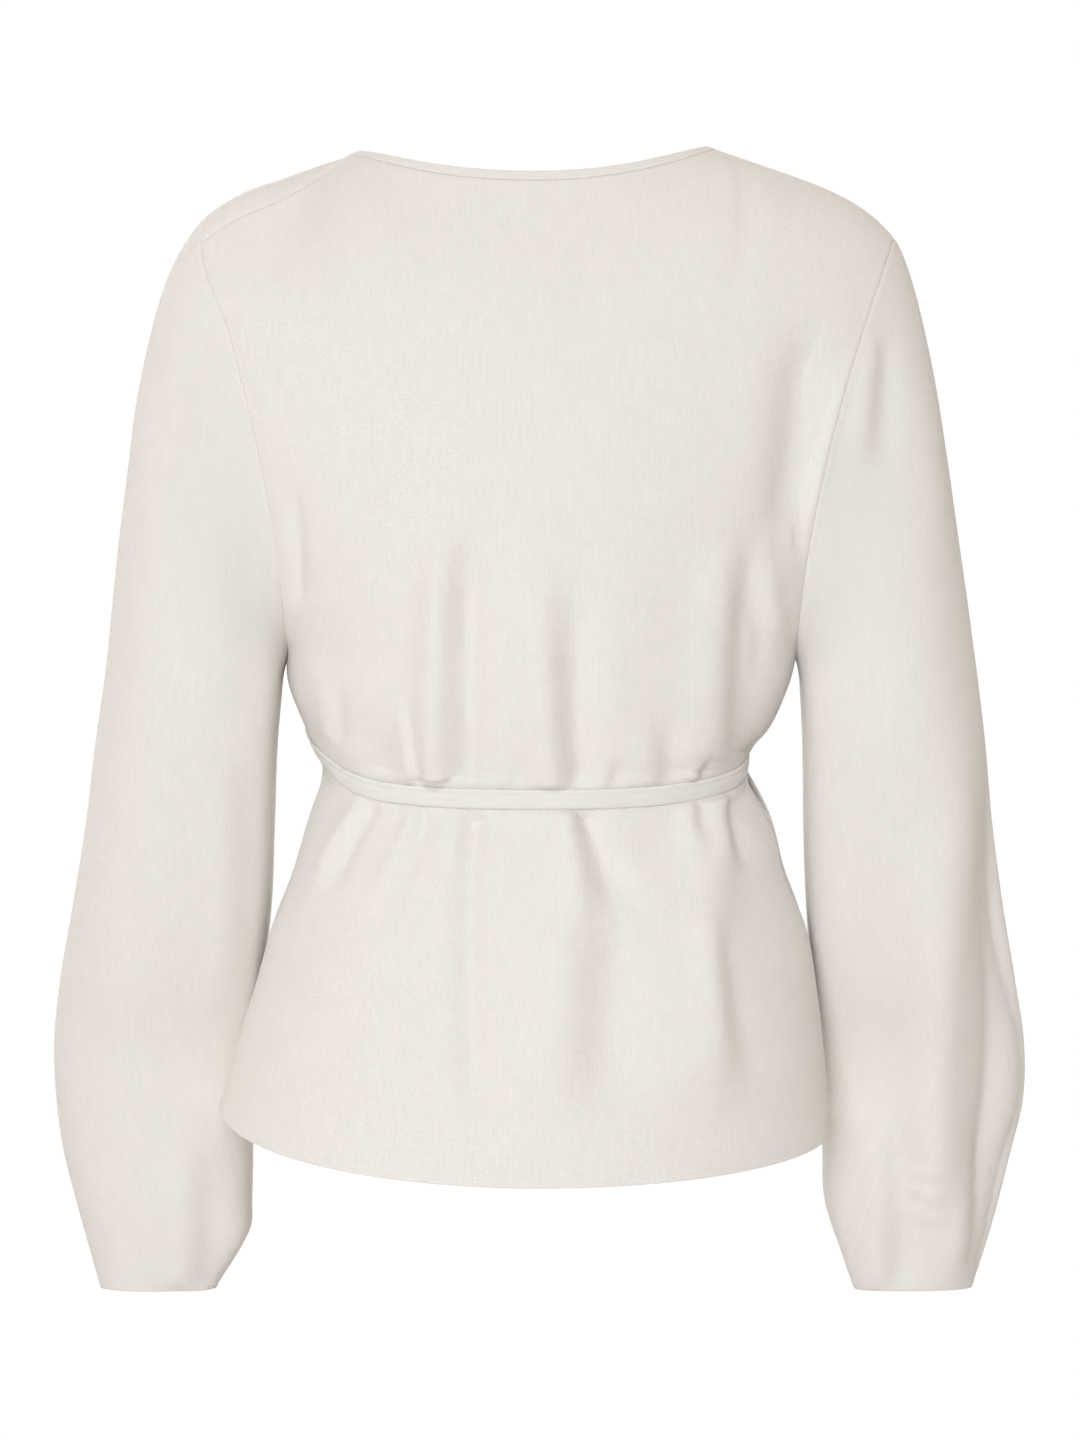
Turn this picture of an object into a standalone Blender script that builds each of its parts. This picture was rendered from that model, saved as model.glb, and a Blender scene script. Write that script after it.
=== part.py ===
"""A fine-knit wrap cardigan, filled out as it hangs on its wearer, open and hollow.

Frame: +X is the wearer's left, -Y is where the wearer faces, +Z is up. The origin lies midway
between the two neck points of the shoulders, which is where the wearer carries it.

The body is one surface cut into a back and two wrapped fronts. A place on it is given by
    face    BACK or FRONT
    across  -1 at the right side seam or armhole, 0 at the centre, 1 at the left
    up      0 at the hem, 1 at the underarm, 2 at the shoulder seam and the neck
Tables and sizes are in millimetres; the meshes are in metres.
"""

from collections import namedtuple

import bmesh
import bpy
import numpy as np

MM = 0.001
BACK, FRONT = 1, -1
LEFT, RIGHT = 1, -1

# ------------------------------------------------------------------ driving sizes
CLOTH = 1.6              # thickness of the knit
SEAM_GAP = 0.36          # room between two pieces that are linked together
BAND_WIDTH = 6.0         # band round the neck and down the front edges
TIE_WIDTH = 10.0         # the tie is a flat double strip
TIE_THICK = 3.0
WRAP_LIFT = 2.3          # how far each front moves off the body where the two overlap

# Closed rounds of the body below the underarms, from hem to underarm. Heights at the centre back
# and at each side, half widths to each side, depths to the back and to the front.
Round = namedtuple("Round", "back_z left_z right_z left right back front")
ROUNDS = [
    Round(-591, -553, -566, 184.0, 167.0, 118, 112),     # hem
    Round(-548, -520, -527, 174.5, 163.5, 113, 109),
    Round(-505, -483, -487, 163.0, 159.0, 107, 105),
    Round(-465, -449, -452, 153.5, 153.0, 101, 101),
    Round(-428, -416, -419, 141.0, 140.5, 93, 95),
    Round(-400, -384, -387, 131.5, 131.5, 84.5, 91),
    Round(-385, -365, -366, 125.2, 119.0, 79, 87),       # waist, held flat under the tie
    Round(-371, -351, -351, 125.6, 119.0, 79, 88),
    Round(-354, -335, -336, 134.0, 131.0, 84.5, 95),
    Round(-330, -312, -313, 143.5, 141.5, 91.5, 105),
    Round(-296, -291, -291, 145.5, 147.5, 96, 114),      # underarm
]
ROUND_CURVE = 0.3        # how much longer the waist stays low before it rises to the side seams
FRONT_RISE = 0.5         # how much of the back's dip is taken up again towards the centre front

# The centre line above the underarm. Turn is the angle round the armhole, 0 at the underarm and
# 180 at the shoulder, for the row that starts at this place on the centre line.
Yoke = namedtuple("Yoke", "turn back_y back_z front_y front_z")
YOKE = [
    Yoke(45, 97, -247, 117, -238),
    Yoke(90, 94, -186, 105, -176),
    Yoke(120, 87, -136, 90, -128),
]

# Each armhole: distance of its lowest and highest point from the centre, and its depths.
Armhole = namedtuple("Armhole", "under top")
ARMHOLE = {LEFT: Armhole(145.5, 195.0), RIGHT: Armhole(147.5, 204.0)}
ARMHOLE_DEPTH = {BACK: 55.0, FRONT: 62.0}
UNDERARM_Z = -291.0
ARMHOLE_TOP_Z = -54.0
ARMHOLE_CURVE = 1.65

# Each shoulder seam: where it starts at the neck and ends at the sleeve, how far it is set behind
# and below the ridge of the shoulder, the slope of the cloth where it lies, and the run with which
# the front comes over the ridge to it.
Shoulder = namedtuple("Shoulder", "neck_x tip_x set_back set_down tilt over")
SHOULDER = {LEFT: Shoulder(109.0, 193.5, 24.0, 15.0, 1.05, 180.0), RIGHT: Shoulder(101.5, 203.5, 0.0, 0.0, 0.0, 0.0)}
SEAM_SWING = 0.58        # share of the shoulder over which the seam swings back from the neck
RIDGE_START_X, RIDGE_SPAN = 100.0, 104.0
RIDGE_Z, RIDGE_FALL, RIDGE_DROP = -2.0, 36.5, 15.5

NECK_CENTRE = (3.0, 47.0, -24.2)     # middle of the back neck seam
NECK_SHARE = 0.47                    # part of each half back that belongs to the neck
NECK_CURVE = 2.15

# Edges of the two fronts: how far across each reaches, at heights up the body.
# The left front is on top. The right one runs on under it to the slit in the left side seam.
Reach = namedtuple("Reach", "up over under")
REACH = [
    Reach(0.00, -0.64, -0.76),
    Reach(0.40, -0.64, -0.80),
    Reach(0.72, -0.59, -0.80),
    Reach(0.84, -0.48, -0.70),
    Reach(1.00, -0.27, -0.42),
    Reach(1.25, 0.06, -0.01),
    Reach(1.50, 0.25, 0.22),
    Reach(1.75, 0.39, 0.38),
    Reach(2.00, NECK_SHARE, NECK_SHARE),
]

# Sleeve rings below the underarm: height, outer and inner side of each arm from the centre,
# how far forward the arm hangs, and its half depth.
Ring = namedtuple("Ring", "z left_out left_in right_out right_in forward depth")
SLEEVE = [
    Ring(-310, 252.0, 150.5, 252.5, 151.5, 4, 55),
    Ring(-340, 256.5, 153.5, 256.5, 153.0, 7, 54),
    Ring(-390, 262.8, 155.2, 262.3, 154.5, 16, 51),
    Ring(-436, 271.0, 157.0, 269.5, 156.5, 28, 49),
    Ring(-482, 279.6, 160.5, 277.8, 160.0, 43, 47),
    Ring(-523, 285.0, 166.0, 284.3, 164.5, 59, 44),
    Ring(-554, 284.8, 169.5, 284.3, 167.0, 67, 42),
    Ring(-586, 281.0, 171.0, 278.0, 168.5, 73, 39),
    Ring(-619, 272.7, 171.8, 270.6, 170.5, 77, 36),
    Ring(-643, 266.0, 177.5, 264.0, 177.0, 81, 32),
    Ring(-667, 259.5, 192.5, 256.0, 187.0, 84, 27),      # cuff
]

# ------------------------------------------------------------------ small helpers
def unit(vectors):
    """Vectors of length one."""
    length = np.linalg.norm(vectors, axis=-1, keepdims=True)
    return vectors / np.maximum(length, 1e-9)


def point(x, y, z):
    """Stack three coordinate arrays into points."""
    return np.stack(np.broadcast_arrays(x, y, z), axis=-1).astype(float)


def smooth_step(value):
    """0 below 0, 1 above 1, and an even S between."""
    t = np.clip(value, 0.0, 1.0)
    return t * t * (3 - 2 * t)


def curve_through(knots, values, at):
    """A smooth curve through the values, read at any places."""
    knots, values = np.asarray(knots, float), np.asarray(values, float)
    slopes = np.gradient(values, knots)
    k = np.clip(np.searchsorted(knots, at) - 1, 0, len(knots) - 2)
    step = knots[k + 1] - knots[k]
    t = (at - knots[k]) / step
    return (values[k] * (1 + 2 * t) * (1 - t) ** 2 + values[k + 1] * t * t * (3 - 2 * t)
            + step * (slopes[k] * t * (1 - t) ** 2 - slopes[k + 1] * t * t * (1 - t)))


def hermite(start, start_run, end, end_run, t):
    """The curve that leaves start along start_run and arrives at end along end_run."""
    t = np.asarray(t, float)[..., None]
    return (start * (1 + 2 * t) * (1 - t) ** 2 + end * t * t * (3 - 2 * t)
            + start_run * t * (1 - t) ** 2 - end_run * t * t * (1 - t))


# ------------------------------------------------------------------ the body's surface
HEM_Z, UNDER_BACK_Z = ROUNDS[0].back_z, ROUNDS[-1].back_z
ROUND_UP = [(r.back_z - HEM_Z) / (UNDER_BACK_Z - HEM_Z) for r in ROUNDS]
YOKE_UP = [1 + y.turn / 180 for y in YOKE]
YOKE_TOP = YOKE_UP[-1]
WAIST_UP = (ROUND_UP[6] + ROUND_UP[7]) / 2


def side_z(side, up):
    """Height of the side seam."""
    left = curve_through(ROUND_UP, [r.left_z for r in ROUNDS], up)
    right = curve_through(ROUND_UP, [r.right_z for r in ROUNDS], up)
    return np.where(side > 0, left, right)


def side_x(side, up):
    """Half width at the side seam."""
    left = curve_through(ROUND_UP, [r.left for r in ROUNDS], up)
    right = curve_through(ROUND_UP, [r.right for r in ROUNDS], up)
    return np.where(side > 0, left, right)


def centre_line(face, up):
    """Depth and height of the centre back or centre front."""
    if face == BACK:
        depth = [r.back for r in ROUNDS] + [y.back_y for y in YOKE]
        height = [r.back_z for r in ROUNDS] + [y.back_z for y in YOKE]
    else:
        sides = [(r.left_z + r.right_z) / 2 for r in ROUNDS]
        depth = [r.front for r in ROUNDS] + [y.front_y for y in YOKE]
        height = [s + FRONT_RISE * (s - r.back_z) for s, r in zip(sides, ROUNDS)]
        height += [y.front_z for y in YOKE]
    knots = ROUND_UP + YOKE_UP
    return curve_through(knots, depth, up), curve_through(knots, height, up)


def armhole_point(face, side, up):
    """The armhole up to the top of the yoke."""
    turn = (np.maximum(up, 1) - 1) * np.pi
    rise = (1 - np.cos(turn)) / 2
    under = np.where(side > 0, ARMHOLE[LEFT].under, ARMHOLE[RIGHT].under)
    top = np.where(side > 0, ARMHOLE[LEFT].top, ARMHOLE[RIGHT].top)
    x = under + (top - under) * rise ** ARMHOLE_CURVE
    return x, ARMHOLE_DEPTH[face] * np.sin(turn), UNDERARM_Z + (ARMHOLE_TOP_Z - UNDERARM_Z) * rise


def row_point(face, side, share, up):
    """A point of the rows below the top of the yoke; share runs 0 at the centre to 1 at the edge."""
    depth, height = centre_line(face, up)
    low = np.minimum(up, 1)
    edge_x, edge_y, edge_z = armhole_point(face, side, up)
    edge_x = np.where(up < 1, side_x(side, low), edge_x)
    edge_z = np.where(up < 1, side_z(side, low), edge_z)
    sweep = np.arccos(np.clip(edge_y / depth, -1, 1))
    angle = share * sweep
    fall = (1 - np.cos(angle)) / (1 - np.cos(sweep))
    x = side * edge_x * np.sin(angle) / np.sin(sweep)
    rise = fall ** (1 + ROUND_CURVE * smooth_step(up / WAIST_UP) * smooth_step((1 - up) / 0.2))
    return point(x, face * (depth + (edge_y - depth) * fall), height + (edge_z - height) * rise)


def of_side(side, name):
    """A shoulder size for each place's own side."""
    return np.where(side > 0, getattr(SHOULDER[LEFT], name), getattr(SHOULDER[RIGHT], name))


def ridge_z(x):
    """Height of the shoulder's ridge at a distance from the centre."""
    out = (x - RIDGE_START_X) / RIDGE_SPAN
    return RIDGE_Z - RIDGE_FALL * out - RIDGE_DROP * np.maximum(out, 0) ** 6


def top_point(face, side, share):
    """The neck seam, and beyond it the shoulder seam."""
    neck_x = of_side(side, "neck_x")
    centre_x, centre_y, centre_z = NECK_CENTRE
    turn = np.pi / 2 * np.minimum(share / NECK_SHARE, 1)
    neck_z = ridge_z(neck_x)
    neck = point(side * (side * centre_x + (neck_x - side * centre_x) * np.sin(turn)),
                 face * centre_y * np.cos(turn),
                 centre_z + (neck_z - centre_z) * np.sin(turn) ** NECK_CURVE)
    along = np.clip((share - NECK_SHARE) / (1 - NECK_SHARE), 0, 1)
    x = neck_x + (of_side(side, "tip_x") - neck_x) * along
    set_off = smooth_step(along / SEAM_SWING)
    seam = point(side * x, of_side(side, "set_back") * set_off,
                 ridge_z(x) - of_side(side, "set_down") * set_off)
    return np.where((share <= NECK_SHARE)[..., None], neck, seam)


def top_run(face, side, share):
    """The direction in which the cloth reaches the neck seam or the shoulder seam."""
    over = point(0 * side, -face + 0 * side, 0 * side)
    neck_lean = point(-0.46 * side, 0 * side, 0.2 + 0 * side)
    along = np.clip((share - NECK_SHARE) / (1 - NECK_SHARE), 0, 1)
    tilt = of_side(side, "tilt") * smooth_step(along / SEAM_SWING)
    shoulder = point(0 * side, -face * np.cos(tilt), face * np.sin(tilt))
    shoulder = shoulder + neck_lean * np.exp(-(along / 0.2) ** 2)[..., None]
    near = (np.minimum(share / NECK_SHARE, 1) ** 2)[..., None]
    centre = point(0 * side, -0.4 * face + 0 * side, 0.92 + 0 * side)
    neck = centre * (1 - near) + (over + neck_lean) * near
    return unit(np.where((share <= NECK_SHARE)[..., None], neck, shoulder))


def body(face, across, up):
    """A point of the body's smooth surface."""
    across, up = np.broadcast_arrays(np.asarray(across, float), np.asarray(up, float))
    side = np.where(across >= 0, 1.0, -1.0)
    share = np.abs(across)
    low = row_point(face, side, share, np.minimum(up, YOKE_TOP))
    start = row_point(face, side, share, np.full(up.shape, YOKE_TOP))
    before = row_point(face, side, share, np.full(up.shape, YOKE_TOP - 0.01))
    end = top_point(face, side, share)
    chord = np.linalg.norm(end - start, axis=-1, keepdims=True)
    t = np.clip((up - YOKE_TOP) / (2 - YOKE_TOP), 0, 1)
    over = of_side(side, "over") * (face == FRONT)
    beyond_neck = np.clip((share - NECK_SHARE) / (1 - NECK_SHARE), 0, 1) / 0.3
    last = chord * 1.15 + (np.maximum(over[..., None] - chord * 1.15, 0)) * smooth_step(beyond_neck)[..., None]
    high = hermite(start, unit(start - before) * chord, end, top_run(face, side, share) * last, t)
    return np.where((up <= YOKE_TOP)[..., None], low, high)


def body_normal(face, across, up):
    """The outward direction of the body's surface."""
    across, up = np.broadcast_arrays(np.asarray(across, float), np.asarray(up, float))
    d = 1e-3
    run_across = body(face, np.minimum(across + d, 1), up) - body(face, np.maximum(across - d, -1), up)
    run_up = body(face, across, np.minimum(up + d, 2)) - body(face, across, np.maximum(up - d, 0))
    return unit(np.cross(run_up, run_across)) * face


# ------------------------------------------------------------------ folds of the cloth
# Each fold runs from one place to another, seen square on; a trough has a negative depth.
Fold = namedtuple("Fold", "face x1 z1 x2 z2 width depth")
FOLDS = [
    Fold(BACK, 52, -225, 56, -362, 11, -3.0),         # gathers above the tie
    Fold(BACK, 74, -262, 76, -360, 10, 1.8),
    Fold(BACK, 16, -230, 14, -360, 13, 2.0),
    Fold(BACK, -15, -255, -17, -360, 10, -3.0),
    Fold(BACK, -138, -110, -108, -335, 14, -4.5),     # drag line under the right armhole
    Fold(BACK, 80, -392, 102, -445, 8, -2.5),         # flared part below the tie
    Fold(BACK, 45, -400, 44, -540, 10, -2.5),
    Fold(BACK, 26, -395, 26, -560, 12, 2.0),
    Fold(BACK, -22, -392, -36, -500, 9, -2.5),
    Fold(BACK, -45, -400, -86, -520, 12, 2.0),
    Fold(BACK, -102, -440, -106, -530, 8, -2.0),
    Fold(FRONT, -60, -330, 30, -262, 10, -2.5),       # wrap drawn to the knot
    Fold(FRONT, -64, -344, 66, -322, 10, -2.5),
    Fold(FRONT, -40, -392, -20, -520, 11, -2.5),
    Fold(FRONT, 18, -386, 26, -530, 12, 2.0),
    Fold(FRONT, 62, -386, 84, -510, 11, -2.5),
]
EDGE_CALM = 0.12         # the folds die away over this share of the cloth before a seam,
TIE_CALM = 0.05          # and over this much of the height next to the tie


def fold_lift(face, across, up, places):
    """How far the folds push the cloth out at these places of the body."""
    lift = np.zeros(places.shape[:-1])
    x, z = places[..., 0], places[..., 2]
    for fold in FOLDS:
        if fold.face != face:
            continue
        run_x, run_z = fold.x2 - fold.x1, fold.z2 - fold.z1
        along = np.clip(((x - fold.x1) * run_x + (z - fold.z1) * run_z) / (run_x ** 2 + run_z ** 2), 0, 1)
        off = np.hypot(x - fold.x1 - along * run_x, z - fold.z1 - along * run_z)
        lift += fold.depth * np.exp(-(off / fold.width) ** 2)
    held = smooth_step((np.abs(up - WAIST_UP) - 0.02) / TIE_CALM)
    return lift * held * smooth_step((1 - np.abs(across)) / EDGE_CALM) * smooth_step((2 - up) / EDGE_CALM)


# ------------------------------------------------------------------ the cut pieces of the body
SEAM_UPS = [0, 0.12, 0.24, 0.36, 0.47, 0.57, 0.65, ROUND_UP[6], 0.74, 0.752, 0.792, 0.812, 0.87, 0.935]
ARMHOLE_UPS = [1, 1.11, 1.22, 1.33, 1.44, 1.55, YOKE_TOP, 1.78, 1.87, 1.94, 2]
UPS = np.array(SEAM_UPS + ARMHOLE_UPS)
SLIT_UPS = (0.752, 0.792)            # the slit of the left side seam is fully open between these,
SLIT_ENDS = (0.74, 0.812)            # and closed again beyond these
SLIT_OPEN = 2.7                      # each lip moves this far off the body
SLIT_REACH = 0.1                     # share of the cloth that follows the lip
RIGHT_SEAM_SET = 0.12                # right side seam shows at the back, just below the tie
SHOULDER_COLUMNS, NECK_COLUMNS = 7, 5


def seam_set(up):
    """How far the right side seam is set round to the back, as a share of the back."""
    return RIGHT_SEAM_SET * smooth_step((WAIST_UP - up) / 0.06) * smooth_step((up - 0.4) / 0.2)


def cloth_at(face, across, up, lift=0.0):
    """Middle of the cloth and its outward direction; a front's place may run on over the back."""
    across, up = np.broadcast_arrays(np.asarray(across, float), np.asarray(up, float))
    beyond = (face == FRONT) & (across < -1)
    base = body(face, np.maximum(across, -1), up)
    out = body_normal(face, np.maximum(across, -1), up)
    fold = fold_lift(face, across, up, base)
    if np.any(beyond):
        turned = -2 - across
        base = np.where(beyond[..., None], body(BACK, np.maximum(turned, -1), up), base)
        out = np.where(beyond[..., None], body_normal(BACK, np.maximum(turned, -1), up), out)
        fold = np.where(beyond, 0, fold)
    return base + out * (fold + lift)[..., None], out


def slit_lift(face, across, up):
    """The lips of the slit, front lip out and back lip in, along the left side seam."""
    (first, last), (low, high) = SLIT_UPS, SLIT_ENDS
    open_here = smooth_step((up - low) / (first - low)) * smooth_step((high - up) / (high - last))
    return -face * SLIT_OPEN * open_here * smooth_step(1 - (1 - across) / SLIT_REACH)


def wrap_lift(own_side, across, up):
    """How far a front lies off the body: the left one out, the right one in."""
    away = smooth_step((1 - own_side * across) / 0.18)
    return own_side * WRAP_LIFT * away * (1 - smooth_step((up - 1.3) / 0.5))


def back_grid():
    """The back: the places of its columns for every row."""
    half = np.concatenate([np.linspace(0, NECK_SHARE, NECK_COLUMNS + 1)[:-1],
                           np.linspace(NECK_SHARE, 1, SHOULDER_COLUMNS + 1)])
    across = np.concatenate([-half[:0:-1], half])
    across = np.tile(across, (len(UPS), 1))
    ups = np.tile(UPS[:, None], (1, across.shape[1]))
    outer = across[0, :SHOULDER_COLUMNS]
    across[:, :SHOULDER_COLUMNS] += seam_set(UPS)[:, None] * (-outer - NECK_SHARE) / (1 - NECK_SHARE)
    middle, out = cloth_at(BACK, across, ups, slit_lift(BACK, across, ups))
    return across, ups, middle, out


def reach_of(side, ups):
    """Where the free edge of a front lies."""
    column = [r.over if side == LEFT else r.under for r in REACH]
    return side * curve_through([r.up for r in REACH], column, ups)


def front_grid(side):
    """A front: columns from its side seam to its free edge."""
    seam = side * np.ones(len(UPS))
    if side == RIGHT:
        seam = seam - seam_set(UPS)
    part = np.linspace(0, 1, 2 * SHOULDER_COLUMNS + 1)
    across = seam[:, None] + (reach_of(side, UPS) - seam)[:, None] * part
    ups = np.tile(UPS[:, None], (1, across.shape[1]))
    lift = wrap_lift(side, across, ups)
    if side == LEFT:
        lift = lift + slit_lift(FRONT, across, ups)
    middle, out = cloth_at(FRONT, across, ups, lift)
    for rows in (middle, out):
        rows[-1, 1::2] = (rows[-1, 0:-1:2] + rows[-1, 2::2]) / 2
    return across, ups, middle, out


# ------------------------------------------------------------------ seams
def share_shoulder(back, front, columns):
    """Give the back and a front the same outward directions along their shoulder seam."""
    shared = unit(back[3][-1, columns] + front[3][-1, ::2])
    back[3][-1, columns] = shared
    front[3][-1, ::2] = shared
    front[3][-1, 1::2] = (shared[:-1] + shared[1:]) / 2


def across_seam(line, out, inside):
    """Direction in the cloth, square to a seam line, that points to the inside points."""
    square = unit(np.cross(out, np.gradient(line, axis=0)))
    toward = np.sum(square * (inside - line), axis=-1, keepdims=True)
    return np.where(toward < 0, -square, square)


def armhole_loop(side, back, front):
    """The armhole as a closed loop: up the back from the underarm, then down the front."""
    column = -1 if side == LEFT else 0
    inner = -2 if side == LEFT else 1
    first = len(SEAM_UPS)
    loop, out, inside = [np.concatenate([b, f[-2:0:-1]]) for b, f in (
        (back[2][first:, column], front[2][first:, 0]),
        (back[3][first:, column], front[3][first:, 0]),
        (back[2][first:, inner], front[2][first:, 1]))]
    run = np.roll(loop, -1, axis=0) - np.roll(loop, 1, axis=0)
    away = unit(np.cross(out, run))
    toward = np.sum(away * (inside - loop), axis=-1, keepdims=True)
    return loop, out, unit(run), np.where(toward > 0, -away, away)


# ------------------------------------------------------------------ sleeves
CAP_STEPS = [0.08, 0.2, 0.35, 0.52, 0.7, 0.86]
CAP_RUN = {LEFT: 0.50, RIGHT: 0.34}  # how far the sleeve head first follows the shoulder, of its way
MITRE_MOST = 1.3         # longest mitre at a sharp turn of the cloth, in half thicknesses
FOLD_GAP = 0.2           # more room under the arm, where the sleeve folds back along the body


def sleeve_ring(side, z, turns):
    """A ring of the arm below the underarm; turn 0 is next to the body and a quarter turn is behind."""
    knots = [-r.z for r in SLEEVE]
    names = ("left_out", "left_in") if side == LEFT else ("right_out", "right_in")
    outer, inner, forward, depth = [curve_through(knots, [getattr(r, n) for r in SLEEVE], -z)
                                    for n in names + ("forward", "depth")]
    centre, half = (outer + inner) / 2, (outer - inner) / 2
    return point(side * (centre - half * np.cos(turns)), depth * np.sin(turns) - forward, z)


def sleeve_grid(side, back, front):
    """The sleeve's rings from the armhole to the cuff, and what its seam does to the body's edge."""
    loop, out, run, away = armhole_loop(side, back, front)
    count = len(loop)
    turns = 2 * np.pi * np.arange(count) / count
    arm_top, arm_next = (sleeve_ring(side, SLEEVE[0].z - d, turns) for d in (0.0, 1.0))
    chord = arm_top - loop
    reach = np.linalg.norm(chord, axis=-1, keepdims=True)
    rise = ((1 - np.cos(turns)) / 2)[:, None]
    heading = unit(rise * away + (1 - rise) * unit(chord))
    own_out = unit(np.cross(run, heading))
    from_arm = loop - np.array([side * 200.0, 0.0, -174.0])
    own_out = np.where(np.sum(own_out * from_arm, axis=-1, keepdims=True) < 0, -own_out, own_out)
    both = out + own_out
    mitre = unit(both) * np.minimum(2 / np.linalg.norm(both, axis=-1, keepdims=True), MITRE_MOST)
    part = unit(np.cross(run, mitre))
    toward = np.sum(part * (away + heading), axis=-1, keepdims=True)
    part = np.where(toward < 0, -part, part) * (SEAM_GAP / 2 + FOLD_GAP * (1 - rise) ** 3)
    start_run = heading * reach * (1 - (1 - CAP_RUN[side]) * rise)
    end_run = unit(arm_next - arm_top) * reach
    start = loop + part
    rings = [start] + [hermite(start, start_run, arm_top, end_run, np.full(count, t)) for t in CAP_STEPS]
    rings += [sleeve_ring(side, r.z, turns) for r in SLEEVE]
    middle = np.array(rings)
    run_down = np.gradient(middle, axis=0)
    run_round = np.roll(middle, -1, axis=1) - np.roll(middle, 1, axis=1)
    normal = unit(np.cross(run_down, run_round))
    offset = normal * (CLOTH / 2)
    outward = np.sum((middle - middle.mean(axis=1, keepdims=True)) * offset, axis=-1)
    if outward.mean() < 0:
        offset = -offset
    offset[0] = mitre * CLOTH / 2
    return middle, offset, mitre * CLOTH / 2, part


def body_wall(grid, side_edges, top_columns, mitres):
    """Middle points and half thickness of a body panel, drawn back from its seams."""
    across, ups, middle, out = grid
    offset = out * (CLOTH / 2)
    moved = middle.copy()
    last = len(SEAM_UPS)
    for column, inner, rows in side_edges:
        line = middle[rows, column]
        moved[rows, column] += across_seam(line, out[rows, column], middle[rows, inner]) * SEAM_GAP / 2
    top = slice(*top_columns)
    moved[-1, top] += across_seam(middle[-1, top], out[-1, top], middle[-2, top]) * SEAM_GAP / 2
    for column, mitre, part in mitres:
        moved[last:, column] -= part
        offset[last:, column] = mitre
    return moved, offset


# ------------------------------------------------------------------ solids
def new_object(name, mesh_maker, colour):
    """A named object with its own material, made from a bmesh."""
    bm = bmesh.new()
    mesh_maker(bm)
    bmesh.ops.recalc_face_normals(bm, faces=bm.faces)
    mesh = bpy.data.meshes.new(name)
    bm.to_mesh(mesh)
    bm.free()
    material = bpy.data.materials.new(name)
    material.use_nodes = True
    shader = material.node_tree.nodes["Principled BSDF"]
    shader.inputs["Base Color"].default_value = colour
    shader.inputs["Roughness"].default_value = 0.9
    mesh.materials.append(material)
    piece = bpy.data.objects.new(name, mesh)
    CARDIGAN.objects.link(piece)
    return piece


def loft(name, rings, closed=False, colour=(0.84, 0.79, 0.72, 1.0)):
    """A closed solid over rings of points. A closed loft meets its own start; an open one is capped."""
    def make(bm):
        loops = [[bm.verts.new(p * MM) for p in ring] for ring in rings]
        pairs = list(zip(loops, loops[1:])) + ([(loops[-1], loops[0])] if closed else [])
        for one, two in pairs:
            for k in range(len(one)):
                m = (k + 1) % len(one)
                bm.faces.new((one[k], one[m], two[m], two[k]))
        if not closed:
            for cap in (loops[0], loops[-1]):
                for k in range(len(cap) // 2 - 1):
                    bm.faces.new((cap[k], cap[k + 1], cap[-k - 2], cap[-k - 1]))
    return new_object(name, make, colour)


def wall_rings(middle, offset):
    """Sections through a panel: along its outer side and back along its inner side."""
    return [np.concatenate([m + o, (m - o)[::-1]]) for m, o in zip(middle, offset)]


def strip_rings(line, wide, out, width, thick):
    """Rectangular sections of a flat strip along a line."""
    w, t = unit(wide) * width / 2, unit(out) * thick / 2
    return [np.array([p + a + b, p - a + b, p - a - b, p + a - b]) for p, a, b in zip(line, w, t)]


# ------------------------------------------------------------------ band, tie and knot
TIE_LIFT = 4.0           # the tie's middle stands this far off the middle of the cloth
TIE_OVER_FRONT = 2.8
KNOT_ACROSS, KNOT_LIFT = -0.755, 8.3
KNOT_SIZE = (19.0, 16.0, 10.0)       # along the tie, up, and thick
KNOT_BEVEL = 3.0
BAND_SLANT = 1.7         # the band is this much wider along the tie, because its edge runs slantwise

# The way of the tie: out through the slit, round the back and on to the knot at the right front.
Way = namedtuple("Way", "face across up lift")
SLIT_UP = sum(SLIT_UPS) / 2
TIE_START = [Way(FRONT, 0.870, SLIT_UP, -2.4), Way(FRONT, 0.92, SLIT_UP, -2.4), Way(FRONT, 0.96, SLIT_UP, -1.3),
             Way(FRONT, 1.0, SLIT_UP, 0.0),
             Way(BACK, 0.965, SLIT_UP, 1.3), Way(BACK, 0.93, SLIT_UP - 0.001, 2.8),
             Way(BACK, 0.88, SLIT_UP - 0.005, TIE_LIFT), Way(BACK, 0.80, SLIT_UP - 0.018, TIE_LIFT),
             Way(BACK, 0.72, SLIT_UP - 0.031, TIE_LIFT), Way(BACK, 0.64, SLIT_UP - 0.041, TIE_LIFT),
             Way(BACK, 0.56, SLIT_UP - 0.047, TIE_LIFT)]
TIE_STEP = 0.06
# The hanging ends: share of the cloth at the top and bottom, height of the lower end, lift.
End = namedtuple("End", "name top bottom up lift")
TIE_ENDS = [End("tie_end_long", -0.750, -0.742, 0.13, 3.0), End("tie_end_short", -0.776, -0.786, 0.24, 6.9)]
END_STEPS = 12


def on_body(ways):
    """Places, outward directions of a list of ways over the body."""
    spots = [cloth_at(w.face, w.across, w.up) for w in ways]
    base = np.array([body(w.face, w.across, w.up) for w in ways])
    out = np.array([s[1] for s in spots])
    return base + out * np.array([[w.lift] for w in ways]), out


def band_rings(back, left, right):
    """The band on the free edges of both fronts and round the back neck."""
    neck = slice(SHOULDER_COLUMNS + 1, -SHOULDER_COLUMNS - 1)
    line = np.concatenate([left[2][:, -1], back[2][-1, neck][::-1], right[2][::-1, -1]])
    out = np.concatenate([left[3][:, -1], back[3][-1, neck][::-1], right[3][::-1, -1]])
    away = unit(np.cross(out, np.gradient(line, axis=0)))
    width = BAND_WIDTH - SEAM_GAP / 2
    middle = line + away * (SEAM_GAP / 2 + width / 2)
    return strip_rings(middle, away, out, width, CLOTH)


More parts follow.
